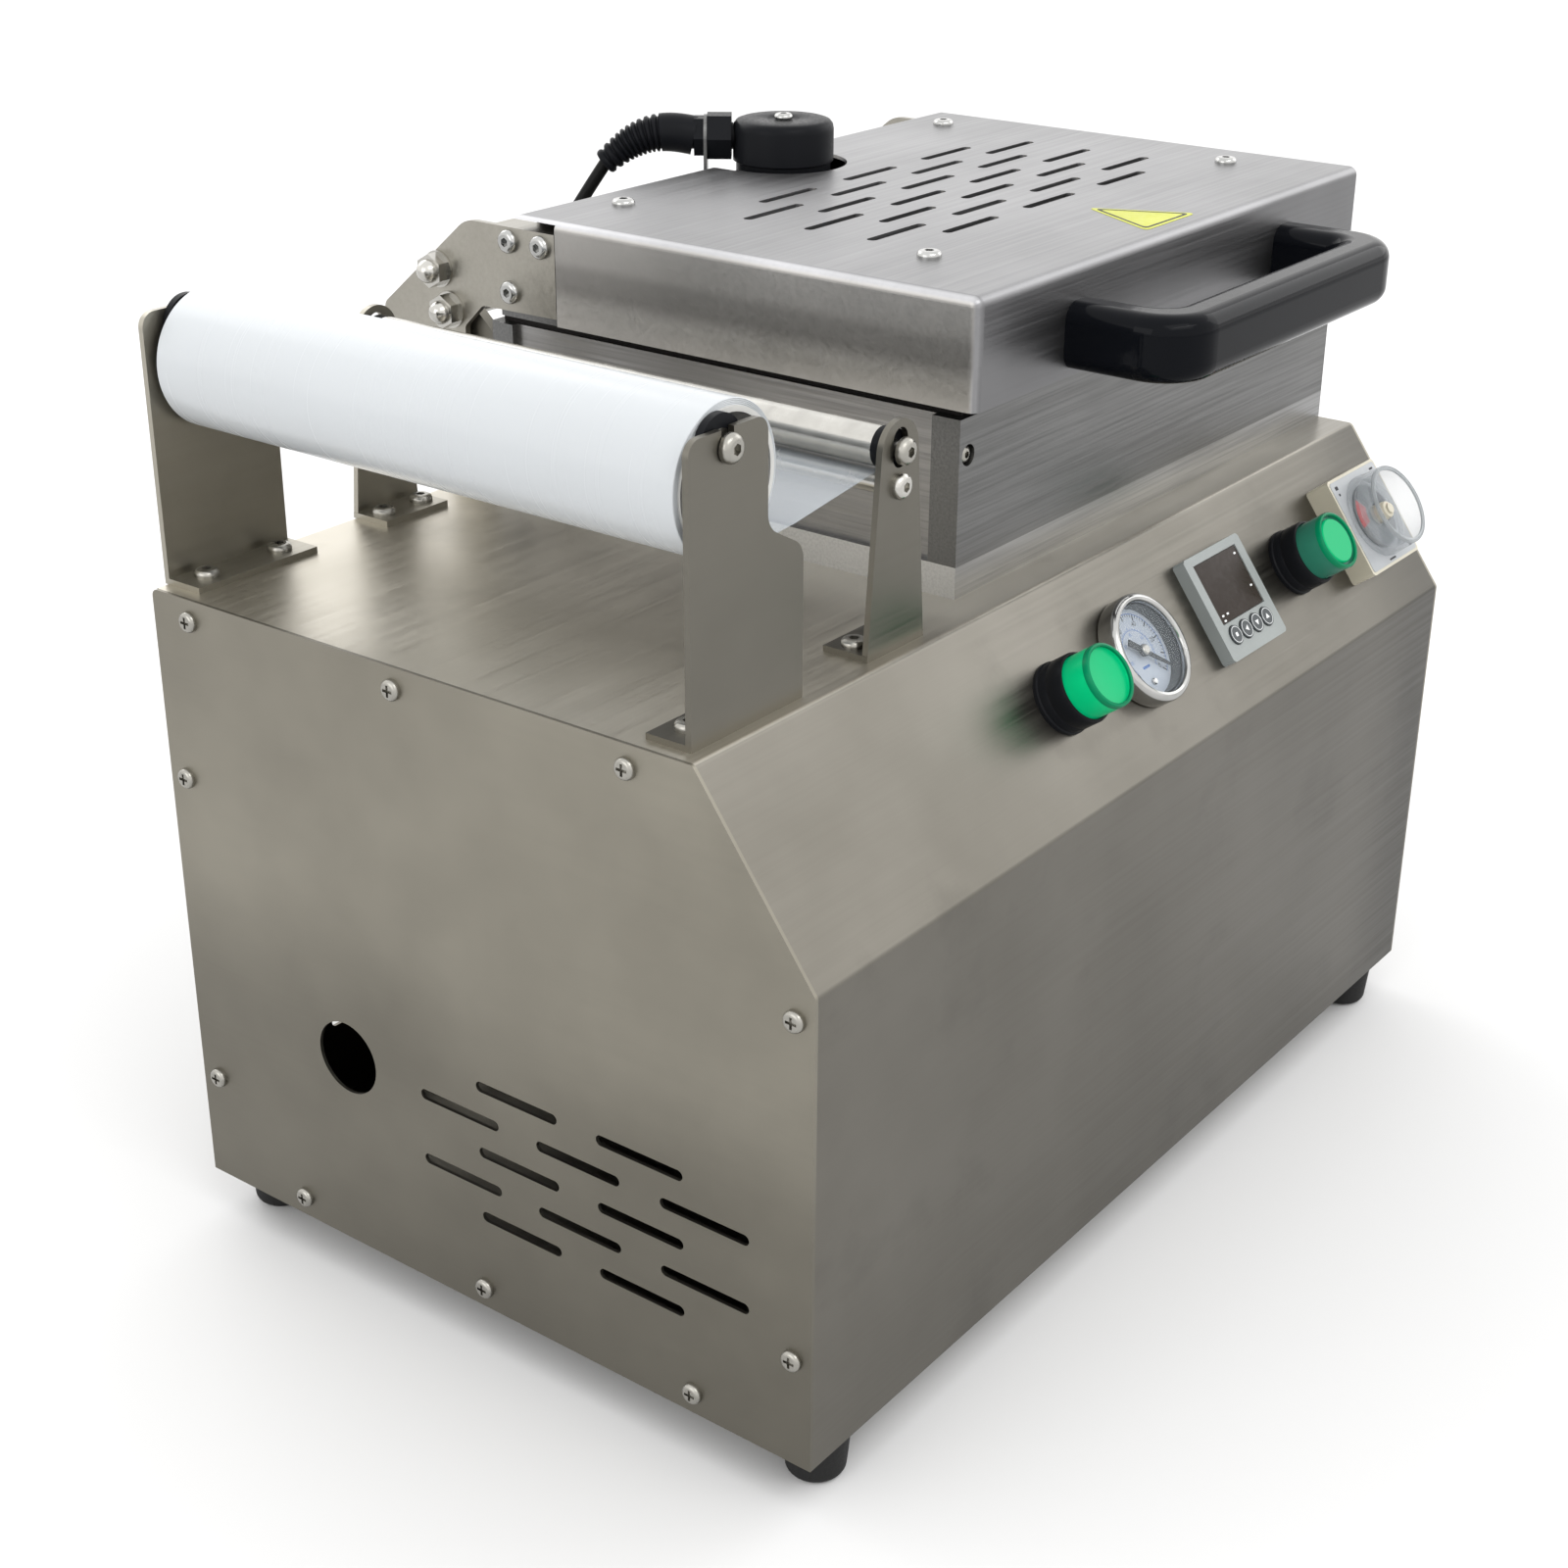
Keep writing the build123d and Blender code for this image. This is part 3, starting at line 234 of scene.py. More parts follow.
def brushed(
    name, dark, light, grain, roughness=0.36, lines=0.10, stain=0.0,
    painted_light_gains=(), contrast=0.45, shades=(), fold_highlight_gain=0.0,
):
    """Brushed sheet: fine lines along one axis, broad uneven sheen, faint smudges; the shades, the per-side
    gains and the fold gain paint light and shade on it.
    """
    m = Nodes(name)
    fine = [520.0, 520.0, 520.0]
    fine[grain] = 5.0
    strands = m.noise(1.0, 4.0, fine, 0.7)
    cloud = m.noise(7.0, 4.0)
    tone = m.mix(m.ramp(cloud, 0.0, 1.0), dark, light)
    streaks = m.mix(m.ramp(strands, 0.0, 1.0, 0.3, 0.7), tuple(0.8 * c for c in dark), tone)
    blend_node = m.add("ShaderNodeMix", data_type="RGBA")
    blend_node.inputs["Factor"].default_value = contrast
    m.link(tone, blend_node.inputs["A"])
    m.link(streaks, blend_node.inputs["B"])
    colour = blend_node.outputs["Result"]
    if stain:
        smudge = m.noise(16.0, 5.0, (1, 1, 1), 0.6)
        colour = m.mix(m.ramp(smudge, 0.0, stain, 0.56, 0.72), colour, tuple(0.55 * c for c in dark))
    # painted light and shade: brightness ramps along the piece's box
    for axis, stops in shades:
        colour = m.scaled(colour, m.shading(axis, stops))
    # painted light: faces lighter or darker by the side they look towards
    for axis, sense, painted_light_gain in painted_light_gains:
        stops = isinstance(painted_light_gain, tuple) and isinstance(painted_light_gain[0], tuple)
        colour = m.facing(colour, axis, sense, m.shading("Z", painted_light_gain) if stops else painted_light_gain)
    # painted highlight along the turn from the left side to the top
    if fold_highlight_gain:
        colour = m.painted_fold_highlight(colour, fold_highlight_gain)
    m.link(colour, m.shader.inputs["Base Color"])
    m.set(Metallic=1.0)
    rough = m.ramp(strands, roughness - 0.06, roughness + 0.08, 0.3, 0.7)
    m.link(rough, m.shader.inputs["Roughness"])
    m.bump(strands, lines)
    return m.material


def machined(name, colour, grain, roughness=0.33, painted_light_gains=()):
    """Milled aluminium: close parallel tool lines and slightly darker blotches; the per-side gains paint
    light on the faces of one side.
    """
    m = Nodes(name)
    fine = [900.0, 900.0, 900.0]
    fine[grain] = 14.0
    strands = m.noise(1.0, 2.0, fine, 0.6)
    cloud = m.noise(11.0, 3.0)
    tone = m.mix(m.ramp(cloud, 0.0, 1.0), tuple(0.86 * c for c in colour), colour)
    streaks = m.mix(m.ramp(strands, 0.0, 0.55, 0.35, 0.7), tone, tuple(0.62 * c for c in colour))
    # painted light: faces lighter or darker by the side they look towards
    for axis, sense, painted_light_gain in painted_light_gains:
        streaks = m.facing(streaks, axis, sense, painted_light_gain)
    m.link(streaks, m.shader.inputs["Base Color"])
    m.set(Metallic=1.0)
    m.link(m.ramp(strands, roughness - 0.05, roughness + 0.1), m.shader.inputs["Roughness"])
    m.bump(strands, 0.16)
    return m.material


def polished(name, colour, roughness=0.16):
    m = Nodes(name)
    marks = m.noise(90.0, 3.0)
    tone = m.mix(m.ramp(marks, 0.0, 1.0), tuple(0.88 * c for c in colour), colour)
    m.link(tone, m.shader.inputs["Base Color"])
    m.set(Metallic=1.0)
    m.link(m.ramp(marks, roughness - 0.05, roughness + 0.08), m.shader.inputs["Roughness"])
    m.bump(marks, 0.03)
    return m.material


def plastic(name, colour, roughness, grain=600.0, bump=0.06, coat=0.0, drift_share=0.12, gloss=0.5):
    """Moulded plastic or rubber: fine surface grain and a little colour drift."""
    m = Nodes(name)
    texture = m.noise(grain, 2.0)
    drift = m.noise(25.0, 3.0)
    low = tuple((1 - drift_share) * c for c in colour)
    m.link(m.mix(m.ramp(drift, 0.0, 1.0), low, colour), m.shader.inputs["Base Color"])
    m.link(m.ramp(texture, roughness - 0.05, roughness + 0.06), m.shader.inputs["Roughness"])
    m.set(Coat_Weight=coat, Coat_Roughness=0.12, Specular_IOR_Level=gloss)
    m.bump(texture, bump, 0.0002)
    return m.material


def glowing(name, dark, light, strength, roughness=0.16):
    """Lit, coloured lens: brighter in the middle of its height, darker at grazing edges."""
    m = Nodes(name)
    facing = m.add("ShaderNodeLayerWeight")
    facing.inputs["Blend"].default_value = 0.35
    tone = m.mix(facing.outputs["Facing"], light, dark)
    cloud = m.noise(140.0, 2.0)
    mixed = m.mix(m.ramp(cloud, 0.0, 0.3), tone, tuple(0.75 * c for c in light))
    m.link(mixed, m.shader.inputs["Base Color"])
    m.link(mixed, m.shader.inputs["Emission Color"])
    m.set(Emission_Strength=strength, Roughness=roughness, Specular_IOR_Level=0.1)
    m.bump(cloud, 0.02, 0.0002)
    return m.material


def clear(name, colour, alpha, roughness=0.06, rim=0.3, gloss=0.25):
    """Thin clear plastic or glass: denser where it is seen edge on."""
    m = Nodes(name)
    edge = m.add("ShaderNodeLayerWeight")
    edge.inputs["Blend"].default_value = 0.45
    smear = m.noise(60.0, 3.0)
    m.set(Base_Color=(*colour, 1), Specular_IOR_Level=gloss)
    m.link(m.ramp(edge.outputs["Facing"], alpha, min(1.0, alpha + rim), 0.0, 1.0), m.shader.inputs["Alpha"])
    m.link(m.ramp(smear, roughness, roughness + 0.06), m.shader.inputs["Roughness"])
    return m.material


LEFT = ("X", -1)
UP = ("Z", 1)
FRONT = ("Y", -1)
# painted shade: the side panels, rear panel and base plate darker towards the bottom
STEEL_SIDE = brushed(
    "steel_side", (0.205, 0.192, 0.160), (0.275, 0.258, 0.215), 1, 0.42, 0.03, contrast=0.2,
    shades=(("Z", ((0.0, 0.64), (0.34, 0.70), (0.62, 0.97), (1.0, 1.0))),),
)
# painted light and shade on the wrap cover: a darker copy of the side steel for the front, top-facing faces
# three times as bright, front faces darker, and darker towards the right end
STEEL_FRONT = brushed(
    "steel_front", (0.152, 0.143, 0.122), (0.200, 0.189, 0.165), 0, 0.36, 0.05, 0.3,
    painted_light_gains=((*UP, 3.0), (*FRONT, 0.8)), contrast=0.3,
    shades=(("X", ((0.0, 1.08), (0.3, 1.0), (0.6, 0.86), (0.85, 0.78), (1.0, 0.42))),),
)
# painted light: the brackets brighter towards the rear, lifting the rear bracket's face out of the roll's
# shadow
STEEL_BRACKET = brushed(
    "steel_bracket", (0.165, 0.156, 0.132), (0.205, 0.194, 0.166), 0, 0.36, 0.03, contrast=0.2,
    shades=(("Y", ((0.0, 0.74), (0.1, 0.78), (0.9, 1.9), (1.0, 1.9))),),
)
STEEL_HINGE = brushed("steel_hinge", (0.30, 0.285, 0.25), (0.38, 0.365, 0.325), 0, 0.36, 0.06)
# painted reflection bands down the lid's left skirt: light, dark, then light again by height
SKIRT_REFLECTION_BANDS = ((0.05, 1.95), (0.2, 1.75), (0.42, 0.92), (0.55, 0.92), (0.68, 1.2), (1.0, 1.25))
# painted light on the lid: the reflection bands and a warm tint of reflected light on the left faces,
# painted shade on the front faces, a painted highlight at the fold
STEEL_LID = brushed(
    "steel_lid", (0.22, 0.22, 0.225), (0.295, 0.294, 0.302), 0, 0.38, 0.07, contrast=0.25,
    painted_light_gains=((*LEFT, SKIRT_REFLECTION_BANDS), (*LEFT, (1.03, 1.0, 0.93)), (*FRONT, 0.72)), fold_highlight_gain=1.9,
)
# one milled aluminium in a darker and a lighter copy: the darker is painted shade on the front-facing end
# plates, the lighter painted light on the block's side plates
ALUMINIUM = machined("aluminium_milled", (0.165, 0.165, 0.163), 0)
ALUMINIUM_SIDE = machined("aluminium_side", (0.30, 0.295, 0.29), 1)
# painted light: the tool base plate's left faces twice as bright
ALUMINIUM_BASE = machined("aluminium_base", (0.30, 0.30, 0.298), 0, painted_light_gains=((*LEFT, 2.0),))
BRIGHT = polished("bright_steel", (0.42, 0.42, 0.41))
ROD_STEEL = polished("drawn_rod", (0.48, 0.47, 0.44), 0.2)
ZINC = polished("zinc_screw", (0.34, 0.33, 0.30), 0.28)
RUBBER = plastic("black_rubber", (0.014, 0.014, 0.014), 0.7, 900.0, 0.15, gloss=0.2)
SILICONE = plastic("gasket_silicone", (0.018, 0.016, 0.015), 0.6, 900.0, 0.1, gloss=0.15)
GLOSS_BLACK = plastic("gloss_black", (0.003, 0.0035, 0.005), 0.1, 500.0, 0.002, gloss=0.07)
MATT_BLACK = plastic("matt_black", (0.007, 0.0075, 0.009), 0.36, 800.0, 0.04, gloss=0.06)
CABLE_BLACK = plastic("cable_sheath", (0.007, 0.007, 0.007), 0.38, 900.0, 0.05, gloss=0.08)
GREY_PLASTIC = plastic("grey_plastic", (0.235, 0.255, 0.25), 0.38, 900.0, 0.05, gloss=0.3)
IVORY = plastic("ivory_plastic", (0.46, 0.43, 0.34), 0.4, 900.0, 0.05)
WHITE_CARD = plastic("white_card", (0.5, 0.5, 0.48), 0.6, 700.0, 0.08)
BROWN_WINDOW = plastic("brown_window", (0.026, 0.019, 0.015), 0.3, 400.0, 0.005, gloss=0.08)
KEY_FACE = plastic("key_face", (0.055, 0.062, 0.066), 0.4, 900.0, 0.05, gloss=0.2)
PALE_PRINT = plastic("pale_print", (0.70, 0.72, 0.72), 0.5)
DARK_PRINT = plastic("dark_print", (0.02, 0.02, 0.025), 0.5, gloss=0.2)
BLUE_PRINT = plastic("blue_print", (0.03, 0.11, 0.36), 0.5, gloss=0.2)
RED_PRINT = plastic("red_print", (0.50, 0.015, 0.02), 0.45, gloss=0.2)
DIAL_WHITE = plastic("dial_white", (0.34, 0.38, 0.44), 0.5, 300.0, 0.02, gloss=0.2)
SILVER_FACE = plastic("silver_face", (0.32, 0.335, 0.35), 0.34, 500.0, 0.02, gloss=0.3)
DISC_GREY = plastic("disc_grey", (0.15, 0.155, 0.16), 0.34, 500.0, 0.02, gloss=0.15)
YELLOW = plastic("yellow_label", (0.43, 0.45, 0.03), 0.45, 300.0, 0.03)
GREEN = glowing("green_lens", (0.0, 0.12, 0.05), (0.0, 0.325, 0.12), 0.62, 0.3)
GREEN_SIDE = glowing("green_side", (0.01, 0.05, 0.035), (0.02, 0.13, 0.085), 0.3, 0.25)
DARK_GREEN = glowing("green_rim", (0.0, 0.05, 0.025), (0.0, 0.19, 0.08), 0.1, 0.25)
CLEAR = clear("clear_cover", (0.34, 0.37, 0.39), 0.09, rim=0.3, gloss=0.1)
RIM_CLEAR = clear("clear_rim", (0.33, 0.35, 0.36), 0.6, rim=0.3, gloss=0.2)
GLASS = clear("gauge_glass", (0.6, 0.66, 0.7), 0.03, 0.03, 0.1)
ALLOY = machined("anodised_alloy", (0.42, 0.43, 0.45), 2)


# ---------------------------------------------------------------- mesh tools
SHARP = radians(35)


def finish_mesh(name, bm, matrix, material, body):
    """Makes the millimetre mesh an object of its body, with smooth faces and sharp edges."""
    bmesh.ops.remove_doubles(bm, verts=bm.verts, dist=1e-5)
    bmesh.ops.recalc_face_normals(bm, faces=bm.faces)
    mesh = bpy.data.meshes.new(name)
    bm.transform(Matrix.Scale(MM, 4))
    bm.to_mesh(mesh)
    bm.free()
    mesh.shade_smooth()
    mesh.set_sharp_from_angle(angle=SHARP)
    obj = bpy.data.objects.new(name, mesh)
    bpy.context.scene.collection.objects.link(obj)
    mesh.materials.append(material)
    obj.matrix_world = matrix
    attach(obj, body)
    return obj


def lathe(name, profile, matrix, material, body, segments=72):
    """Turned piece about its local Z: profile is a closed list of (radius, height)."""
    bm = bmesh.new()
    rings = []
    for step in range(segments):
        angle = 2 * pi * step / segments
        ring = [bm.verts.new((r * cos(angle), r * sin(angle), z)) for r, z in profile]
        rings.append(ring)
    pairs = list(zip(range(len(profile)), range(1, len(profile))))
    pairs.append((len(profile) - 1, 0))
    for step in range(segments):
        here = rings[step]
        there = rings[(step + 1) % segments]
        for a, b in pairs:
            corners = [here[a], there[a], there[b], here[b]]
            places = [tuple(round(c, 7) for c in v.co) for v in corners]
            unique = [v for i, v in enumerate(corners) if places[i] not in places[:i]]
            if len(unique) > 2:
                bm.faces.new(unique)
    return finish_mesh(name, bm, matrix, material, body)


def solid_profile(points):
    """Closes a turned outline on its axis."""
    low = points[0][1]
    high = points[-1][1]
    return [(0.0, low), *points, (0.0, high)]


def plate(name, outline, low, high, matrix, material, body, bevel=0.0):
    """Flat piece of the given outline, from low to high along its local Z."""
    bm = bmesh.new()
    face = bm.faces.new([bm.verts.new((x, y, low)) for x, y in outline])
    grown = bmesh.ops.extrude_face_region(bm, geom=[face])
    moved = [g for g in grown["geom"] if isinstance(g, bmesh.types.BMVert)]
    bmesh.ops.translate(bm, verts=moved, vec=(0, 0, high - low))
    if bevel:
        rim = [e for e in bm.edges if all(abs(v.co.z - high) < 1e-6 for v in e.verts)]
        bmesh.ops.bevel(bm, geom=rim, offset=bevel, segments=3, affect="EDGES", profile=0.6)
    return finish_mesh(name, bm, matrix, material, body)


def rounded_rectangle(width, height, radius, steps=6):
    points = []
    for cx, cy, first in ((1, 1, 0), (-1, 1, 90), (-1, -1, 180), (1, -1, 270)):
        for step in range(steps + 1):
            angle = radians(first + 90 * step / steps)
            x = cx * (width / 2 - radius) + radius * cos(angle)
            y = cy * (height / 2 - radius) + radius * sin(angle)
            points.append((x, y))
    return points


def moved(points, dx, dy):
    return [(x + dx, y + dy) for x, y in points]


def circle(radius, count):
    angles = [2 * pi * i / count for i in range(count)]
    return [(radius * cos(a), radius * sin(a)) for a in angles]


def arc_band(inner, outer, first, last, steps=24):
    outside = [(outer * cos(radians(a)), outer * sin(radians(a))) for a in spread(first, last, steps)]
    inside = [(inner * cos(radians(a)), inner * sin(radians(a))) for a in spread(last, first, steps)]
    return outside + inside


def spread(first, last, steps):
    return [first + (last - first) * i / steps for i in range(steps + 1)]


INK = 0.08


def printed(name, outlines, height, matrix, material, body):
    """Many flat printed marks in one piece, each a raised film of ink."""
    bm = bmesh.new()
    for outline in outlines:
        face = bm.faces.new([bm.verts.new((x, y, height)) for x, y in outline])
        grown = bmesh.ops.extrude_face_region(bm, geom=[face])
        lifted = [g for g in grown["geom"] if isinstance(g, bmesh.types.BMVert)]
        bmesh.ops.translate(bm, verts=lifted, vec=(0, 0, INK))
    return finish_mesh(name, bm, matrix, material, body)


def numeral(name, text, size, place, matrix, material, body):
    """A number on a dial, as a thin solid."""
    curve = bpy.data.curves.new(name + "_curve", "FONT")
    curve.body = text
    curve.size = size * MM
    curve.align_x = "CENTER"
    curve.align_y = "CENTER"
    curve.extrude = 0.04 * MM
    holder = bpy.data.objects.new(name + "_text", curve)
    mesh = bpy.data.meshes.new_from_object(holder)
    bpy.data.objects.remove(holder)
    obj = bpy.data.objects.new(name, mesh)
    bpy.context.scene.collection.objects.link(obj)
    mesh.materials.clear()
    mesh.materials.append(material)
    obj.matrix_world = matrix @ Matrix.Translation(Vector(place) * MM)
    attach(obj, body)
    return obj


# ---------------------------------------------------------------- finishes of the CAD pieces
def repaint(node, material, bevel=0.0):
    obj = nodes[node]
    for slot in obj.material_slots:
        slot.material = material
    obj.data.shade_smooth()
    obj.data.set_sharp_from_angle(angle=radians(32))
    if bevel:
        edge = obj.modifiers.new("edge", "BEVEL")
        edge.width = bevel * MM
        edge.segments = 2
        edge.limit_method = "ANGLE"
        edge.angle_limit = radians(50)
        edge.harden_normals = False


FINISHES = {
    STEEL_SIDE: ("side_panel_left", "side_panel_right", "rear_panel", "base_plate"),
    STEEL_FRONT: ("wrap_cover",),
    STEEL_BRACKET: ("roll_brackets", "guide_brackets", "hinge_brackets"),
    STEEL_HINGE: ("hinge_plates",),
    STEEL_LID: ("lid_cover",),
    ALUMINIUM: ("tool_end_plates", "cup_carrier", "lift_frame", "lid_frame", "film_clamp_frame"),
    ALUMINIUM_SIDE: ("tool_side_plates", "heater_plate", "seal_heads"),
    ALUMINIUM_BASE: ("tool_base_plate",),
    BRIGHT: ("air_fitting", "lid_screws"),
    ROD_STEEL: ("guide_tube", "lower_rod", "hinge_rods"),
    ZINC: ("panel_screws", "deck_screws", "roll_axle", "guide_shaft"),
    RUBBER: ("rubber_feet",),
    SILICONE: ("seal_gasket",),
    GLOSS_BLACK: ("handle",),
    MATT_BLACK: (
        "axle_collars", "guide_end_caps", "power_inlet", "solenoid_valve", "cable_entry", "cable_gland",
        "gauge_needle",
    ),
    GREY_PLASTIC: ("controller_case",),
    IVORY: ("timer_case",),
    WHITE_CARD: ("film_core",),
    GLASS: ("gauge_glass",),
    ALLOY: ("press_cylinder", "power_supply"),
    KEY_FACE: ("controller_key_1", "controller_key_2", "controller_key_3", "controller_key_4"),
}
EDGES = {
    "roll_brackets": 0.35, "guide_brackets": 0.35, "hinge_plates": 0.4, "tool_end_plates": 0.5,
    "tool_side_plates": 0.4, "tool_base_plate": 0.5, "side_panel_left": 0.3,
    "controller_case": 0.4, "timer_case": 0.4,
}
for material, names in FINISHES.items():
    for name in names:
        repaint(name, material, EDGES.get(name, 0.0))

# ---------------------------------------------------------------- pilot lamp and push button
def lamp_ring(x, name, node):
    outside = [(15.2, 0.0), (15.2, 1.6), (14.7, 2.2), (14.7, 5.6), (14.5, 6.0), (14.7, 6.4), (14.7, 12.6)]
    lip = [(14.3, 13.7), (13.6, 14.0), (13.35, 13.6), (13.35, 8.0), (0.0, 8.0)]
    neck = [(0.0, -14.0), (11.0, -14.0), (11.0, 0.0)]
    ring = lathe(name, outside + lip + neck, slope_matrix(x), MATT_BLACK, "cabinet")
    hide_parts(node)


def lens(x, prefix, body, node, face_r=0):
    """A green cup under a dark rim, with a slightly dished face, or a raised one of radius face_r."""
    skirt = [(13.0, 12.2), (13.2, 13.0), (13.2, 24.6), (12.9, 25.6), (11.6, 25.6)]
    dish = [(11.4, 24.9), (5.0, 24.5), (0.0, 24.4), (0.0, 12.2)]
    side = GREEN_SIDE if face_r else GREEN
    cup = lathe(prefix + "_lens_cup", skirt + dish, slope_matrix(x), side, body)
    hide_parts(node)
    if face_r:
        face = solid_profile([(face_r, 24.5), (face_r, 25.6), (face_r - 0.5, 26.2)])
        lathe(prefix + "_lens_face", face, slope_matrix(x), GREEN, body)
    rim = [(13.3, 24.4), (13.3, 26.1), (12.9, 26.8), (12.2, 27.0), (11.7, 26.6), (11.6, 25.2), (12.9, 24.9)]
    lathe(prefix + "_lens_rim", rim, slope_matrix(x), DARK_GREEN, body)


BUTTON_FACE_R = 10.4
lamp_ring(LAMP_X, "lamp_ring", "pilot_lamp_body")
lens(LAMP_X, "lamp", "cabinet", "pilot_lamp_lens")
lamp_ring(BUTTON_X, "button_ring", "button_housing")
lens(BUTTON_X, "button", "button", "button_cap", BUTTON_FACE_R)

# ---------------------------------------------------------------- gauge
gauge = slope_matrix(GAUGE_X)
bezel_outside = [(22.4, 0.0), (23.2, 0.6), (23.5, 1.6), (23.5, 7.6), (23.2, 8.8), (22.3, 9.7), (21.2, 10.0)]
bezel_inside = [(20.2, 9.6), (19.7, 8.8), (19.7, 7.4), (19.9, 7.4), (19.9, 0.0)]
can_outside = [(20.4, -26.0), (6.5, -26.0), (6.5, -42.0), (0.0, -42.0)]
can_inside = [(0.0, -24.0), (19.0, -24.0), (19.0, 0.0)]
bezel_profile = bezel_outside + bezel_inside + can_outside + can_inside
bezel = lathe("gauge_bezel", bezel_profile, gauge, BRIGHT, "cabinet", 96)
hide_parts("gauge_case")
well = [(19.85, 7.3), (19.85, 1.4), (19.1, 1.4), (19.1, 6.6)]
lathe("gauge_well", well, gauge, MATT_BLACK, "cabinet", 96)
plate("gauge_dial", circle(19.2, 72), 1.0, 1.6, gauge, DIAL_WHITE, "cabinet")
DIAL_Z = 1.6
SWEEP_START = 225
SWEEP = 270
TICKS = 50
ticks = []
for index in range(TICKS + 1):
    angle = radians(SWEEP_START - SWEEP * index / TICKS)
    inner = 14.2 if index % 5 == 0 else 15.6
    half = 0.28 if index % 5 == 0 else 0.14
    across = Vector((-sin(angle), cos(angle))) * half
    low = Vector((cos(angle), sin(angle))) * inner
    high = Vector((cos(angle), sin(angle))) * 16.8
    ticks.append([tuple(low - across), tuple(high - across), tuple(high + across), tuple(low + across)])
printed("gauge_ticks", ticks, DIAL_Z, gauge, DARK_PRINT, "cabinet")
INNER_TICKS = 30
SWEEP_END = SWEEP_START - SWEEP
scale_bands = [
    arc_band(16.8, 17.05, SWEEP_END, SWEEP_START, 60),
    arc_band(9.8, 10.0, SWEEP_END, SWEEP_START, 48),
]
for index in range(INNER_TICKS + 1):
    middle = SWEEP_START - SWEEP * index / INNER_TICKS
    scale_bands.append(arc_band(10.0, 11.2 if index % 5 == 0 else 10.7, middle - 0.5, middle + 0.5, 1))
printed("gauge_blue_scale", scale_bands, DIAL_Z, gauge, BLUE_PRINT, "cabinet")


def dial_numbers(prefix, count, first_angle, radius, step, size, ink):
    """Numbers a fifth of the sweep apart, counting down from 5 steps."""
    for index in range(count):
        angle = radians(first_angle - SWEEP / 5 * index)
        place = (radius * cos(angle), radius * sin(angle), DIAL_Z)
        text = str(step * (5 - index))
        numeral("%s_%d" % (prefix, index), text, size, place, gauge, ink, "cabinet")


def on_gauge(y):
    return gauge @ Matrix.Translation((0, y * MM, 0))


dial_numbers("gauge_numeral", 6, SWEEP_START, 12.6, 20, 3.1, DARK_PRINT)
dial_numbers("gauge_inner_numeral", 5, SWEEP_START - SWEEP / 10, 8.0, 5, 2.0, BLUE_PRINT)
block = rounded_rectangle(5.1, 1.1, 0.3)
printed("gauge_block", [block], DIAL_Z, on_gauge(-6.5), BLUE_PRINT, "cabinet")
hub_profile = solid_profile([(2.3, 5.0), (2.3, 5.6), (1.6, 6.2)])
lathe("gauge_hub", hub_profile, gauge, ZINC, "gauge_pointer", 32)
screw_profile = solid_profile([(1.5, 1.6), (1.5, 2.3), (1.1, 2.8)])
lathe("gauge_screw", screw_profile, on_gauge(-13.2), BRIGHT, "cabinet", 32)

# ---------------------------------------------------------------- temperature controller
control = slope_matrix(CONTROL_X)
window = moved(rounded_rectangle(36.6, 27.6, 1.2), 0, 6)
plate("controller_window", window, 4.9, 5.6, control, BROWN_WINDOW, "cabinet", 0.2)
lights = []
for x, y in ((-15.0, -4.5), (-11.0, -4.5), (-15.0, -6.8), (15.6, 16.5), (15.6, 1.0)):
    lights.append(moved(rounded_rectangle(1.7, 0.9, 0.3, 3), x, y))
printed("controller_marks", lights, 5.6, control, PALE_PRINT, "cabinet")
KEY_V = -14.0
KEY_TOP = 6.8
KEY_SIGNS = (
    rounded_rectangle(1.8, 1.8, 0.4, 3),
    [(-1.4, 0), (0.9, 1.3), (0.9, -1.3)],
    [(0, -1.4), (1.4, 0.9), (-1.4, 0.9)],
    [(0, 1.4), (-1.4, -0.9), (1.4, -0.9)],
)
for number, sign in enumerate(KEY_SIGNS, 1):
    key_low, key_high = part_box("controller_key_%d" % number)
    x = ((key_low + key_high) / 2 - CORNER).x / MM
    key = slope_matrix(x, ROW_V + KEY_V)
    marks = [arc_band(3.45, 3.7, 0, 359, 40), sign]
    printed("key_mark_%d" % number, marks, KEY_TOP, key, PALE_PRINT, "key_%d" % number)

# ---------------------------------------------------------------- timer
timer = slope_matrix(TIMER_X)
FACE_LOW = 11.6
FACE_TOP = 12.25
face = rounded_rectangle(45.4, 45.4, 1.6)
plate("timer_face", face, FACE_LOW, FACE_TOP, timer, SILVER_FACE, "cabinet", 0.15)
FACE_MARKS = (
    (-18.5, 19.5, 2.6, 1.8), (-18.5, 16.2, 1.2, 1.2), (18.0, 20.0, 3.4, 1.0),
    (-2.0, -21.2, 6.0, 0.9), (18.5, -19.6, 2.4, 1.6),
)
marks = [moved(rounded_rectangle(w, h, 0.3, 3), x, y) for x, y, w, h in FACE_MARKS]
printed("timer_marks", marks, FACE_TOP, timer, DARK_PRINT, "cabinet")
DISC_TOP = 13.2
disc_profile = solid_profile([(15.4, 12.3), (15.6, 12.8), (15.4, DISC_TOP)])
disc = lathe("timer_disc", disc_profile, timer, DISC_GREY, "cabinet")
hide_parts("timer_dial")
SECTOR_R = 14.4
dark = [arc_band(5.5, SECTOR_R, first, last, 8) for first, last in ((15, 65), (245, 295), (96, 126))]
red = [arc_band(7.0, SECTOR_R, 132, 190, 10)]
printed("timer_dark_sectors", dark, DISC_TOP, timer, DARK_PRINT, "cabinet")
printed("timer_red_sector", red, DISC_TOP, timer, RED_PRINT, "cabinet")
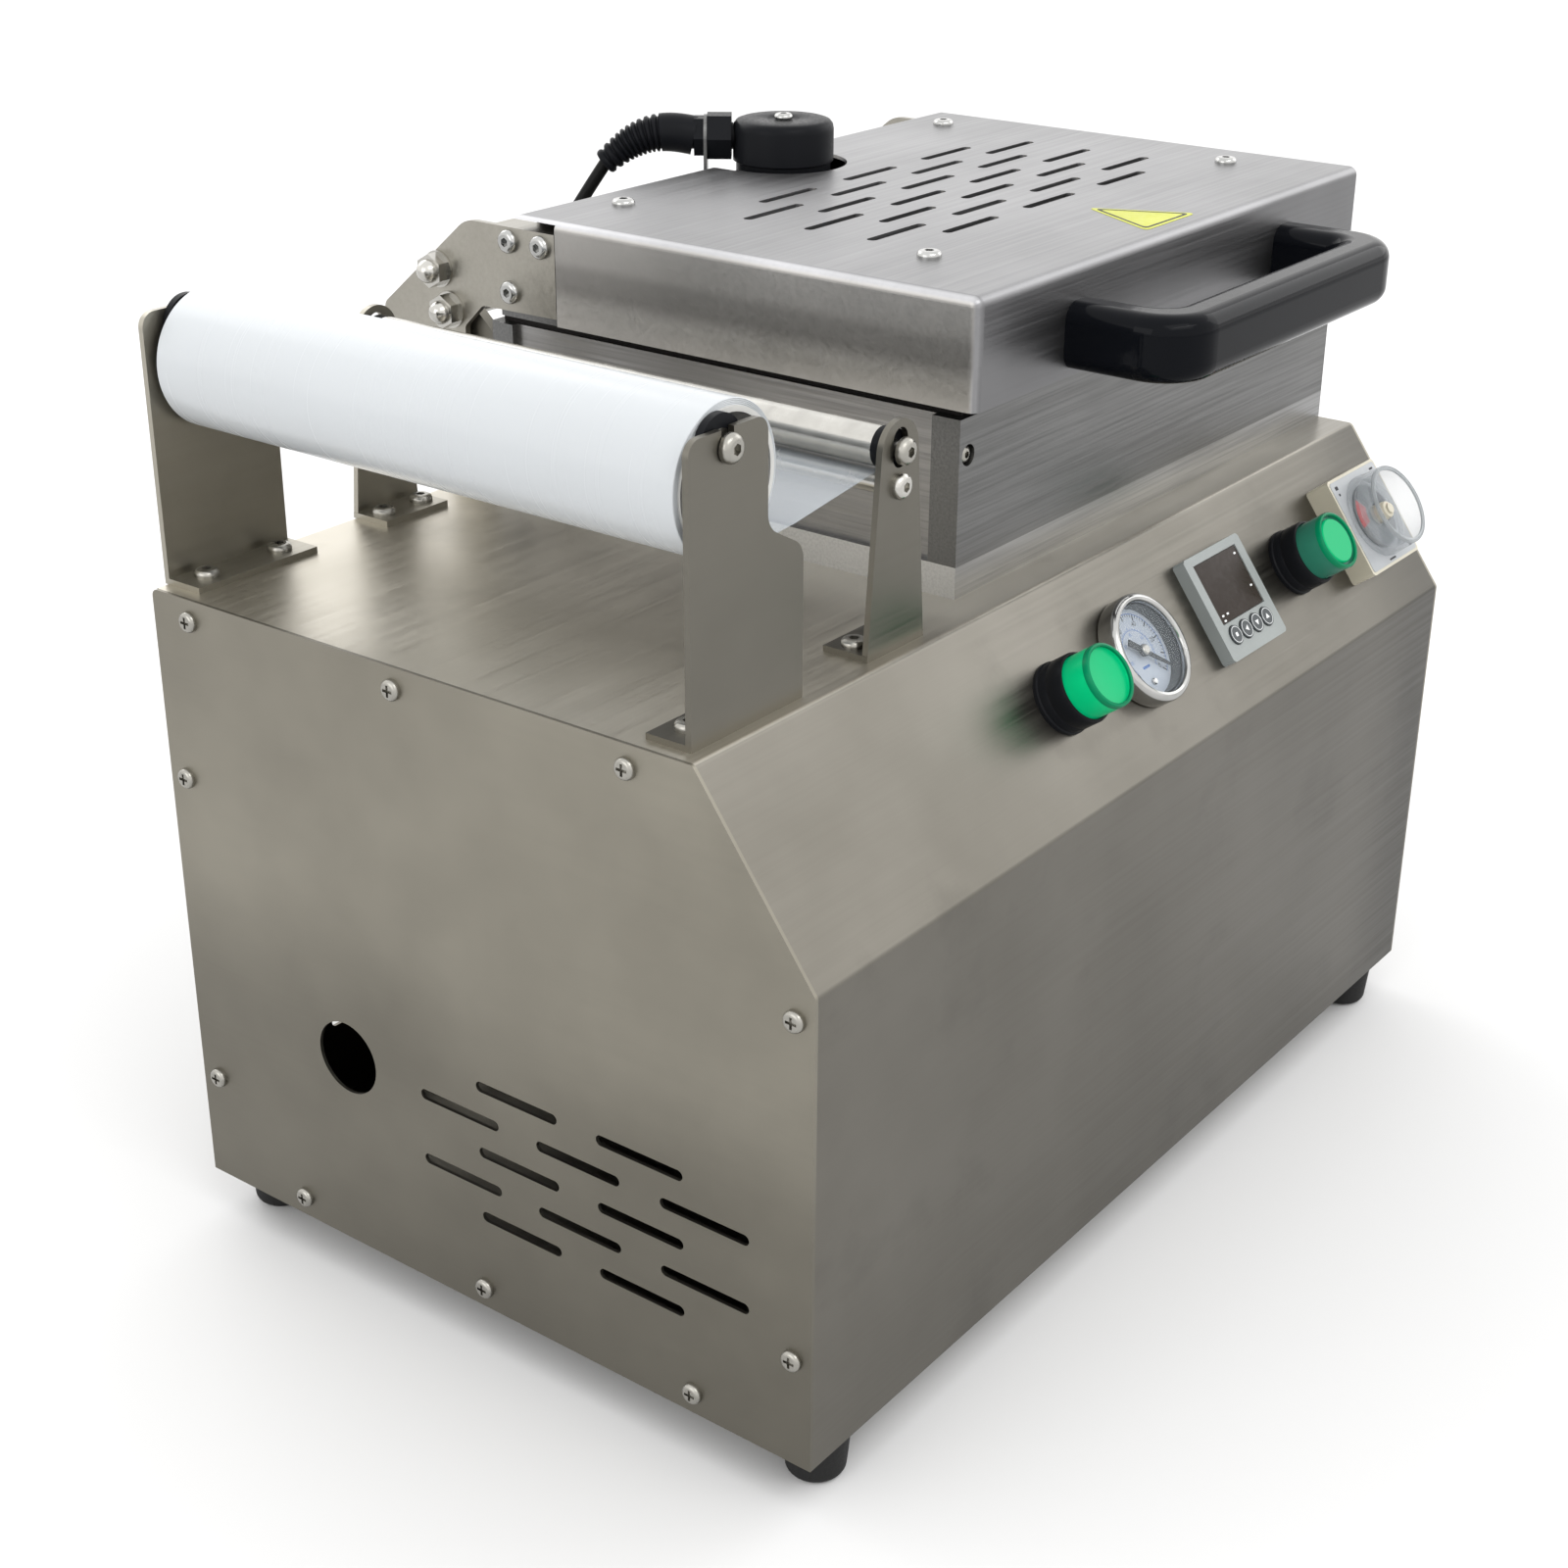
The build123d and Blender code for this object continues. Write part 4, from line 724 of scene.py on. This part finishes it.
cover_profile = [
    (19.9, 12.5), (20.0, 13.4), (19.5, 20.0), (19.2, 26.0), (18.7, 27.0), (17.7, 27.0), (17.3, 26.2),
    (17.4, 16.6), (6.0, 16.6), (6.0, 15.4), (17.6, 15.4), (17.9, 12.5),
]
cover = lathe("timer_clear_ring", cover_profile, timer, CLEAR, "timer_setting", 96)
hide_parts("timer_knob")
knob_profile = solid_profile([(4.6, 14.0), (4.2, 19.4), (3.8, 20.6), (3.0, 21.0)])
lathe("timer_knob_post", knob_profile, timer, IVORY, "timer_setting", 48)
pointer = [(-0.4, 0.6), (0.4, 0.6), (0.4, 2.6), (-0.4, 2.6)]
printed("timer_knob_line", [pointer], 21.0, timer, RED_PRINT, "timer_setting")
rim_profile = [(17.0, 25.9), (17.1, 26.7), (17.8, 27.0), (18.6, 27.0), (19.1, 26.4), (19.2, 25.6)]
lathe("timer_ring_rim", rim_profile, timer, RIM_CLEAR, "timer_setting", 96)

# ---------------------------------------------------------------- film roll and web
ROLL = (35.5, 357.0)
low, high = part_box("film_roll")
roll_y0 = (low - CORNER).y / MM
roll_y1 = (high - CORNER).y / MM
length = roll_y1 - roll_y0


def film_material(name, alpha, colour, bump):
    """Clear sealing film: a faint haze and bands where its turns lie."""
    m = Nodes(name)
    turns = m.noise(1.0, 2.0, (2, 2, 260), 0.6)
    haze = m.noise(1.0, 3.0, (9, 9, 4), 0.5)
    tone = m.mix(m.ramp(haze, 0.0, 1.0), tuple(0.95 * c for c in colour), colour)
    m.link(tone, m.shader.inputs["Base Color"])
    m.link(m.ramp(turns, 0.20, 0.30), m.shader.inputs["Roughness"])
    m.set(Alpha=alpha, Specular_IOR_Level=0.4)
    m.bump(haze, bump, 0.0004)
    return m.material


FILM = film_material("film_wound", 1.0, (0.44, 0.46, 0.475), 0.006)
WEB = film_material("film_web", 0.36, (0.50, 0.54, 0.58), 0.003)
SLEEVE_IN = 25.0
SLEEVE_WALL = 2.5
END_STEPS = 10
end_face = []
for index in range(END_STEPS):
    radius = SLEEVE_IN + SLEEVE_WALL * index / (END_STEPS - 1)
    end_face.append((radius, 0.25 if index % 2 else 0.0))
far_face = [(r, length - z) for r, z in reversed(end_face[:-1])]
profile = end_face + [(SLEEVE_IN + SLEEVE_WALL, length)] + far_face
roll_place = along((ROLL[0], roll_y0, ROLL[1]), (0, 1, 0))
roll = lathe("film_sleeve", profile, roll_place, FILM, "roll", 128)
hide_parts("film_roll")

# the film leaves the underside of the roll and lies over the lower rod
WEB_LINE = [
    (36.5, 328.95), (56.0, 329.9), (75.0, 331.3), (100.0, 334.7), (123.5, 337.6),
    (130.5, 337.85), (141.5, 337.85),
]
WEB_Y = (66.3, 316.7)
WEB_T = 0.12


def rim_of(rows):
    """The points round the edge of a grid, in order."""
    near = [row[0] for row in reversed(rows[1:-1])]
    far = [row[-1] for row in rows[1:]]
    return [*rows[0], *far, *reversed(rows[-1][:-1]), *near]


def film_strip():
    """The stretched web as a thin closed sheet, and the length of its run."""
    line = []
    for (x0, z0), (x1, z1) in zip(WEB_LINE, WEB_LINE[1:]):
        line += [(x0 + (x1 - x0) * i / 6, z0 + (z1 - z0) * i / 6) for i in range(6)]
    line.append(WEB_LINE[-1])
    bm = bmesh.new()
    columns = 40
    layers = []
    for lift in (0.0, -WEB_T):
        rows = []
        for x, z in line:
            row = []
            for step in range(columns + 1):
                y = WEB_Y[0] + (WEB_Y[1] - WEB_Y[0]) * step / columns
                ripple = 0.08 * sin(0.09 * y) * sin(0.05 * (x - WEB_LINE[0][0]))
                row.append(bm.verts.new((x, y, z + lift + ripple)))
            rows.append(row)
        layers.append(rows)
    for rows in layers:
        for here, there in zip(rows, rows[1:]):
            for step in range(columns):
                bm.faces.new((here[step], here[step + 1], there[step + 1], there[step]))
    rim, under = [rim_of(rows) for rows in layers]
    for index in range(len(rim)):
        following = (index + 1) % len(rim)
        bm.faces.new((rim[index], rim[following], under[following], under[index]))
    obj = finish_mesh("film_strip", bm, Matrix.Translation(CORNER), WEB, "cabinet")
    run = sum(hypot(b[0] - a[0], b[1] - a[1]) for a, b in zip(line, line[1:]))
    return obj, run * MM


strip, strip_run = film_strip()
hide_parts("film_web")

# ---------------------------------------------------------------- lid details
sticker = upright(STICKER_X, STICKER_Y, LID_TOP)
STICKER_T = 0.15
corners = [(-21.0, -13.8), (21.0, -13.8), (2.0, 27.5)]


def rounded_triangle(points, radius, steps=5):
    """The triangle with each corner turned over radius on both of its sides."""
    outline = []
    for index, corner in enumerate(points):
        corner = Vector(corner)
        before = (Vector(points[index - 1]) - corner).normalized()
        after = (Vector(points[(index + 1) % 3]) - corner).normalized()
        for step in range(steps + 1):
            t = step / steps
            start = corner + before * radius
            end = corner + after * radius
            outline.append(tuple((1 - t) ** 2 * start + 2 * t * (1 - t) * corner + t ** 2 * end))
    return outline


def shrunk(points, share):
    middle_x = sum(x for x, y in points) / 3
    middle_y = sum(y for x, y in points) / 3
    return [(middle_x + (x - middle_x) * share, middle_y + (y - middle_y) * share) for x, y in points]


def almost_closed(points, gap=0.1):
    """The outline carried on to just short of its first point."""
    first = Vector(points[0])
    last = Vector(points[-1])
    return points + [tuple(first + (last - first).normalized() * gap)]


triangle = rounded_triangle(corners, 4.0)
plate("lid_sticker", triangle, 0.0, STICKER_T, sticker, YELLOW, "lid")
outside = almost_closed(rounded_triangle(shrunk(corners, 0.88), 3.2))
inside = almost_closed(rounded_triangle(shrunk(corners, 0.79), 3.0))
line = outside + list(reversed(inside))
printed("lid_sticker_line", [line], STICKER_T, sticker, DARK_PRINT, "lid")

cap = upright(CAP_X, CAP_Y, LID_TOP)
cap_profile = solid_profile([
    (21.8, -11.0), (21.8, 0.5), (23.2, 1.2), (23.2, 15.2), (22.8, 17.4),
    (21.6, 18.9), (19.8, 19.5), (8.0, 19.5), (7.0, 19.0),
])
cap_piece = lathe("terminal_cover", cap_profile, cap, MATT_BLACK, "lid", 96)
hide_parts("terminal_cap")

# ---------------------------------------------------------------- gland and strain relief
GLAND_ANGLE = radians(127.2)


def by_gland(reach, z):
    """A place on the upright plane through the cap's and the gland's axes."""
    return (CAP_X + reach * cos(GLAND_ANGLE), CAP_Y + reach * sin(GLAND_ANGLE), z)


RELIEF_ROUTE = ((41, 401.6), (49, 403.3), (60, 402.8), (69, 399.2), (76, 394.4), (82.5, 389))
RELIEF_START_R = 8.8
RELIEF_END_R = 5.9


def curve_points(points, name, samples=12):
    """Points of the smooth curve that has these as its control points."""
    curve = bpy.data.curves.new(name, "CURVE")
    curve.dimensions = "3D"
    curve.resolution_u = samples
    spline = curve.splines.new("NURBS")
    spline.points.add(len(points) - 1)
    for point, place in zip(spline.points, points):
        point.co = (*at(*place), 1)
    spline.order_u = 3
    spline.use_endpoint_u = True
    holder = bpy.data.objects.new(name + "_holder", curve)
    mesh = bpy.data.meshes.new_from_object(holder)
    found = [v.co.copy() for v in mesh.vertices]
    bpy.data.objects.remove(holder)
    return found


def tube_mesh(name, path, radii, material, segments):
    """Round tube along a path; radii gives its radius, in millimetres, at each point."""
    bm = bmesh.new()
    rings = []
    side = None
    for index, place in enumerate(path):
        before = path[max(index - 1, 0)]
        after = path[min(index + 1, len(path) - 1)]
        tangent = (after - before).normalized()
        if side is None:
            side = tangent.orthogonal().normalized()
        side = (side - tangent * side.dot(tangent)).normalized()
        other = tangent.cross(side)
        ring = []
        for step in range(segments):
            angle = 2 * pi * step / segments
            offset = (side * cos(angle) + other * sin(angle)) * radii[index] * MM
            ring.append(bm.verts.new(place + offset))
        rings.append(ring)
    for here, there in zip(rings, rings[1:]):
        for step in range(segments):
            following = (step + 1) % segments
            bm.faces.new((here[step], here[following], there[following], there[step]))
    bm.faces.new(list(reversed(rings[0])))
    bm.faces.new(rings[-1])
    bmesh.ops.recalc_face_normals(bm, faces=bm.faces)
    mesh = bpy.data.meshes.new(name)
    bm.to_mesh(mesh)
    bm.free()
    mesh.shade_smooth()
    mesh.set_sharp_from_angle(angle=radians(40))
    mesh.materials.append(material)
    obj = bpy.data.objects.new(name, mesh)
    bpy.context.scene.collection.objects.link(obj)
    return obj


GROOVE = (0.0, 0.5, 1.3, 1.3, 0.5, 0.0, 0.0)
RIBS_FROM = 0.3
relief_path = curve_points([by_gland(*place) for place in RELIEF_ROUTE], "relief_route", 20)
relief_radii = []
for index in range(len(relief_path)):
    share = index / (len(relief_path) - 1)
    smooth_radius = RELIEF_START_R + (RELIEF_END_R - RELIEF_START_R) * share ** 2
    depth = GROOVE[index % len(GROOVE)] if share > RIBS_FROM else 0.0
    relief_radii.append(smooth_radius - depth)
relief = tube_mesh("strain_relief_sleeve", relief_path, relief_radii, MATT_BLACK, 32)
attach(relief, "lid")
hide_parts("strain_relief")

# the heater cable's route, its control points in the machine's frame
CABLE = [
    by_gland(81, 390.5), by_gland(98, 366), (275, 368, 335), (267, 371, 295),
    (263, 369, 250), (262, 364, 215), (262, 350, 196), (262, 335, 190),
]
CABLE_R = 3.0
cable_path = curve_points(CABLE, "cable_route", 16)
cable_radii = [CABLE_R] * len(cable_path)
cable = tube_mesh("heater_lead", cable_path, cable_radii, CABLE_BLACK, 20)
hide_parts("heater_cable")
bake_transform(cable)

# ---------------------------------------------------------------- floor, lights, camera
def floor_material():
    m = Nodes("pale_floor")
    m.set(Base_Color=(0.62, 0.62, 0.62, 1), Roughness=0.7, Specular_IOR_Level=0.1)
    return m.material


bm = bmesh.new()
FLOOR = 9.0
bm.faces.new([bm.verts.new((x * FLOOR, y * FLOOR, 0)) for x, y in ((-1, -1), (1, -1), (1, 1), (-1, 1))])
mesh = bpy.data.meshes.new("floor")
bm.to_mesh(mesh)
bm.free()
mesh.materials.append(floor_material())
floor = bpy.data.objects.new("floor", mesh)
bpy.context.scene.collection.objects.link(floor)
floor.location.z = CAD_BOX[0].z - 0.0002


def area_light(name, place, size, power):
    """A rectangular light at place, turned to the middle of the machine."""
    data = bpy.data.lights.new(name, "AREA")
    data.shape = "RECTANGLE"
    data.size, data.size_y = size
    data.energy = power
    light = bpy.data.objects.new(name, data)
    bpy.context.scene.collection.objects.link(light)
    light.location = place
    light.rotation_euler = (CENTRE - Vector(place)).to_track_quat("-Z", "Y").to_euler()


CENTRE = Vector((0, 0, 0.2))
area_light("key", (-0.6, -1.6, 2.2), (1.8, 1.2), 12)
area_light("left_fill", (-2.4, 0.3, 1.1), (1.6, 1.4), 10)
area_light("right_fill", (2.2, -0.8, 1.4), (1.6, 1.4), 10)
area_light("back", (0.4, 2.2, 1.8), (2.0, 1.2), 14)
area_light("strip", (-0.3, -1.5, 1.9), (1.6, 0.05), 3)

world = bpy.data.worlds.new("studio")
world.use_nodes = True
bpy.context.scene.world = world
tree = world.node_tree
background = tree.nodes["Background"]
coordinates = tree.nodes.new("ShaderNodeTexCoord")
split = tree.nodes.new("ShaderNodeSeparateXYZ")
height = tree.nodes.new("ShaderNodeMapRange")
height.inputs["From Min"].default_value = -0.1
height.inputs["From Max"].default_value = 0.9
shades = tree.nodes.new("ShaderNodeValToRGB")
shades.color_ramp.elements[0].color = (1.0, 0.99, 0.98, 1)
shades.color_ramp.elements[1].color = (1.0, 1.0, 1.0, 1)
tree.links.new(coordinates.outputs["Generated"], split.inputs[0])
tree.links.new(split.outputs["Z"], height.inputs["Value"])
tree.links.new(height.outputs["Result"], shades.inputs["Fac"])
tree.links.new(shades.outputs["Color"], background.inputs["Color"])
background.inputs["Strength"].default_value = 1.6

camera_data = bpy.data.cameras.new("camera")
camera_data.lens = 56.40
camera_data.sensor_width = 36.0
camera_data.clip_end = 50.0
camera = bpy.data.objects.new("camera", camera_data)
bpy.context.scene.collection.objects.link(camera)
right = Vector((0.60456, -0.79654, 0.00500)).normalized()
back = Vector((-0.72334, -0.54635, 0.42223)).normalized()
up = back.cross(right).normalized()
right = up.cross(back)
camera.matrix_world = axes_matrix(at(-572.43, -418.62, 608.39), right, up, back)
bpy.context.scene.camera = camera
bpy.context.scene.view_settings.view_transform = "Standard"
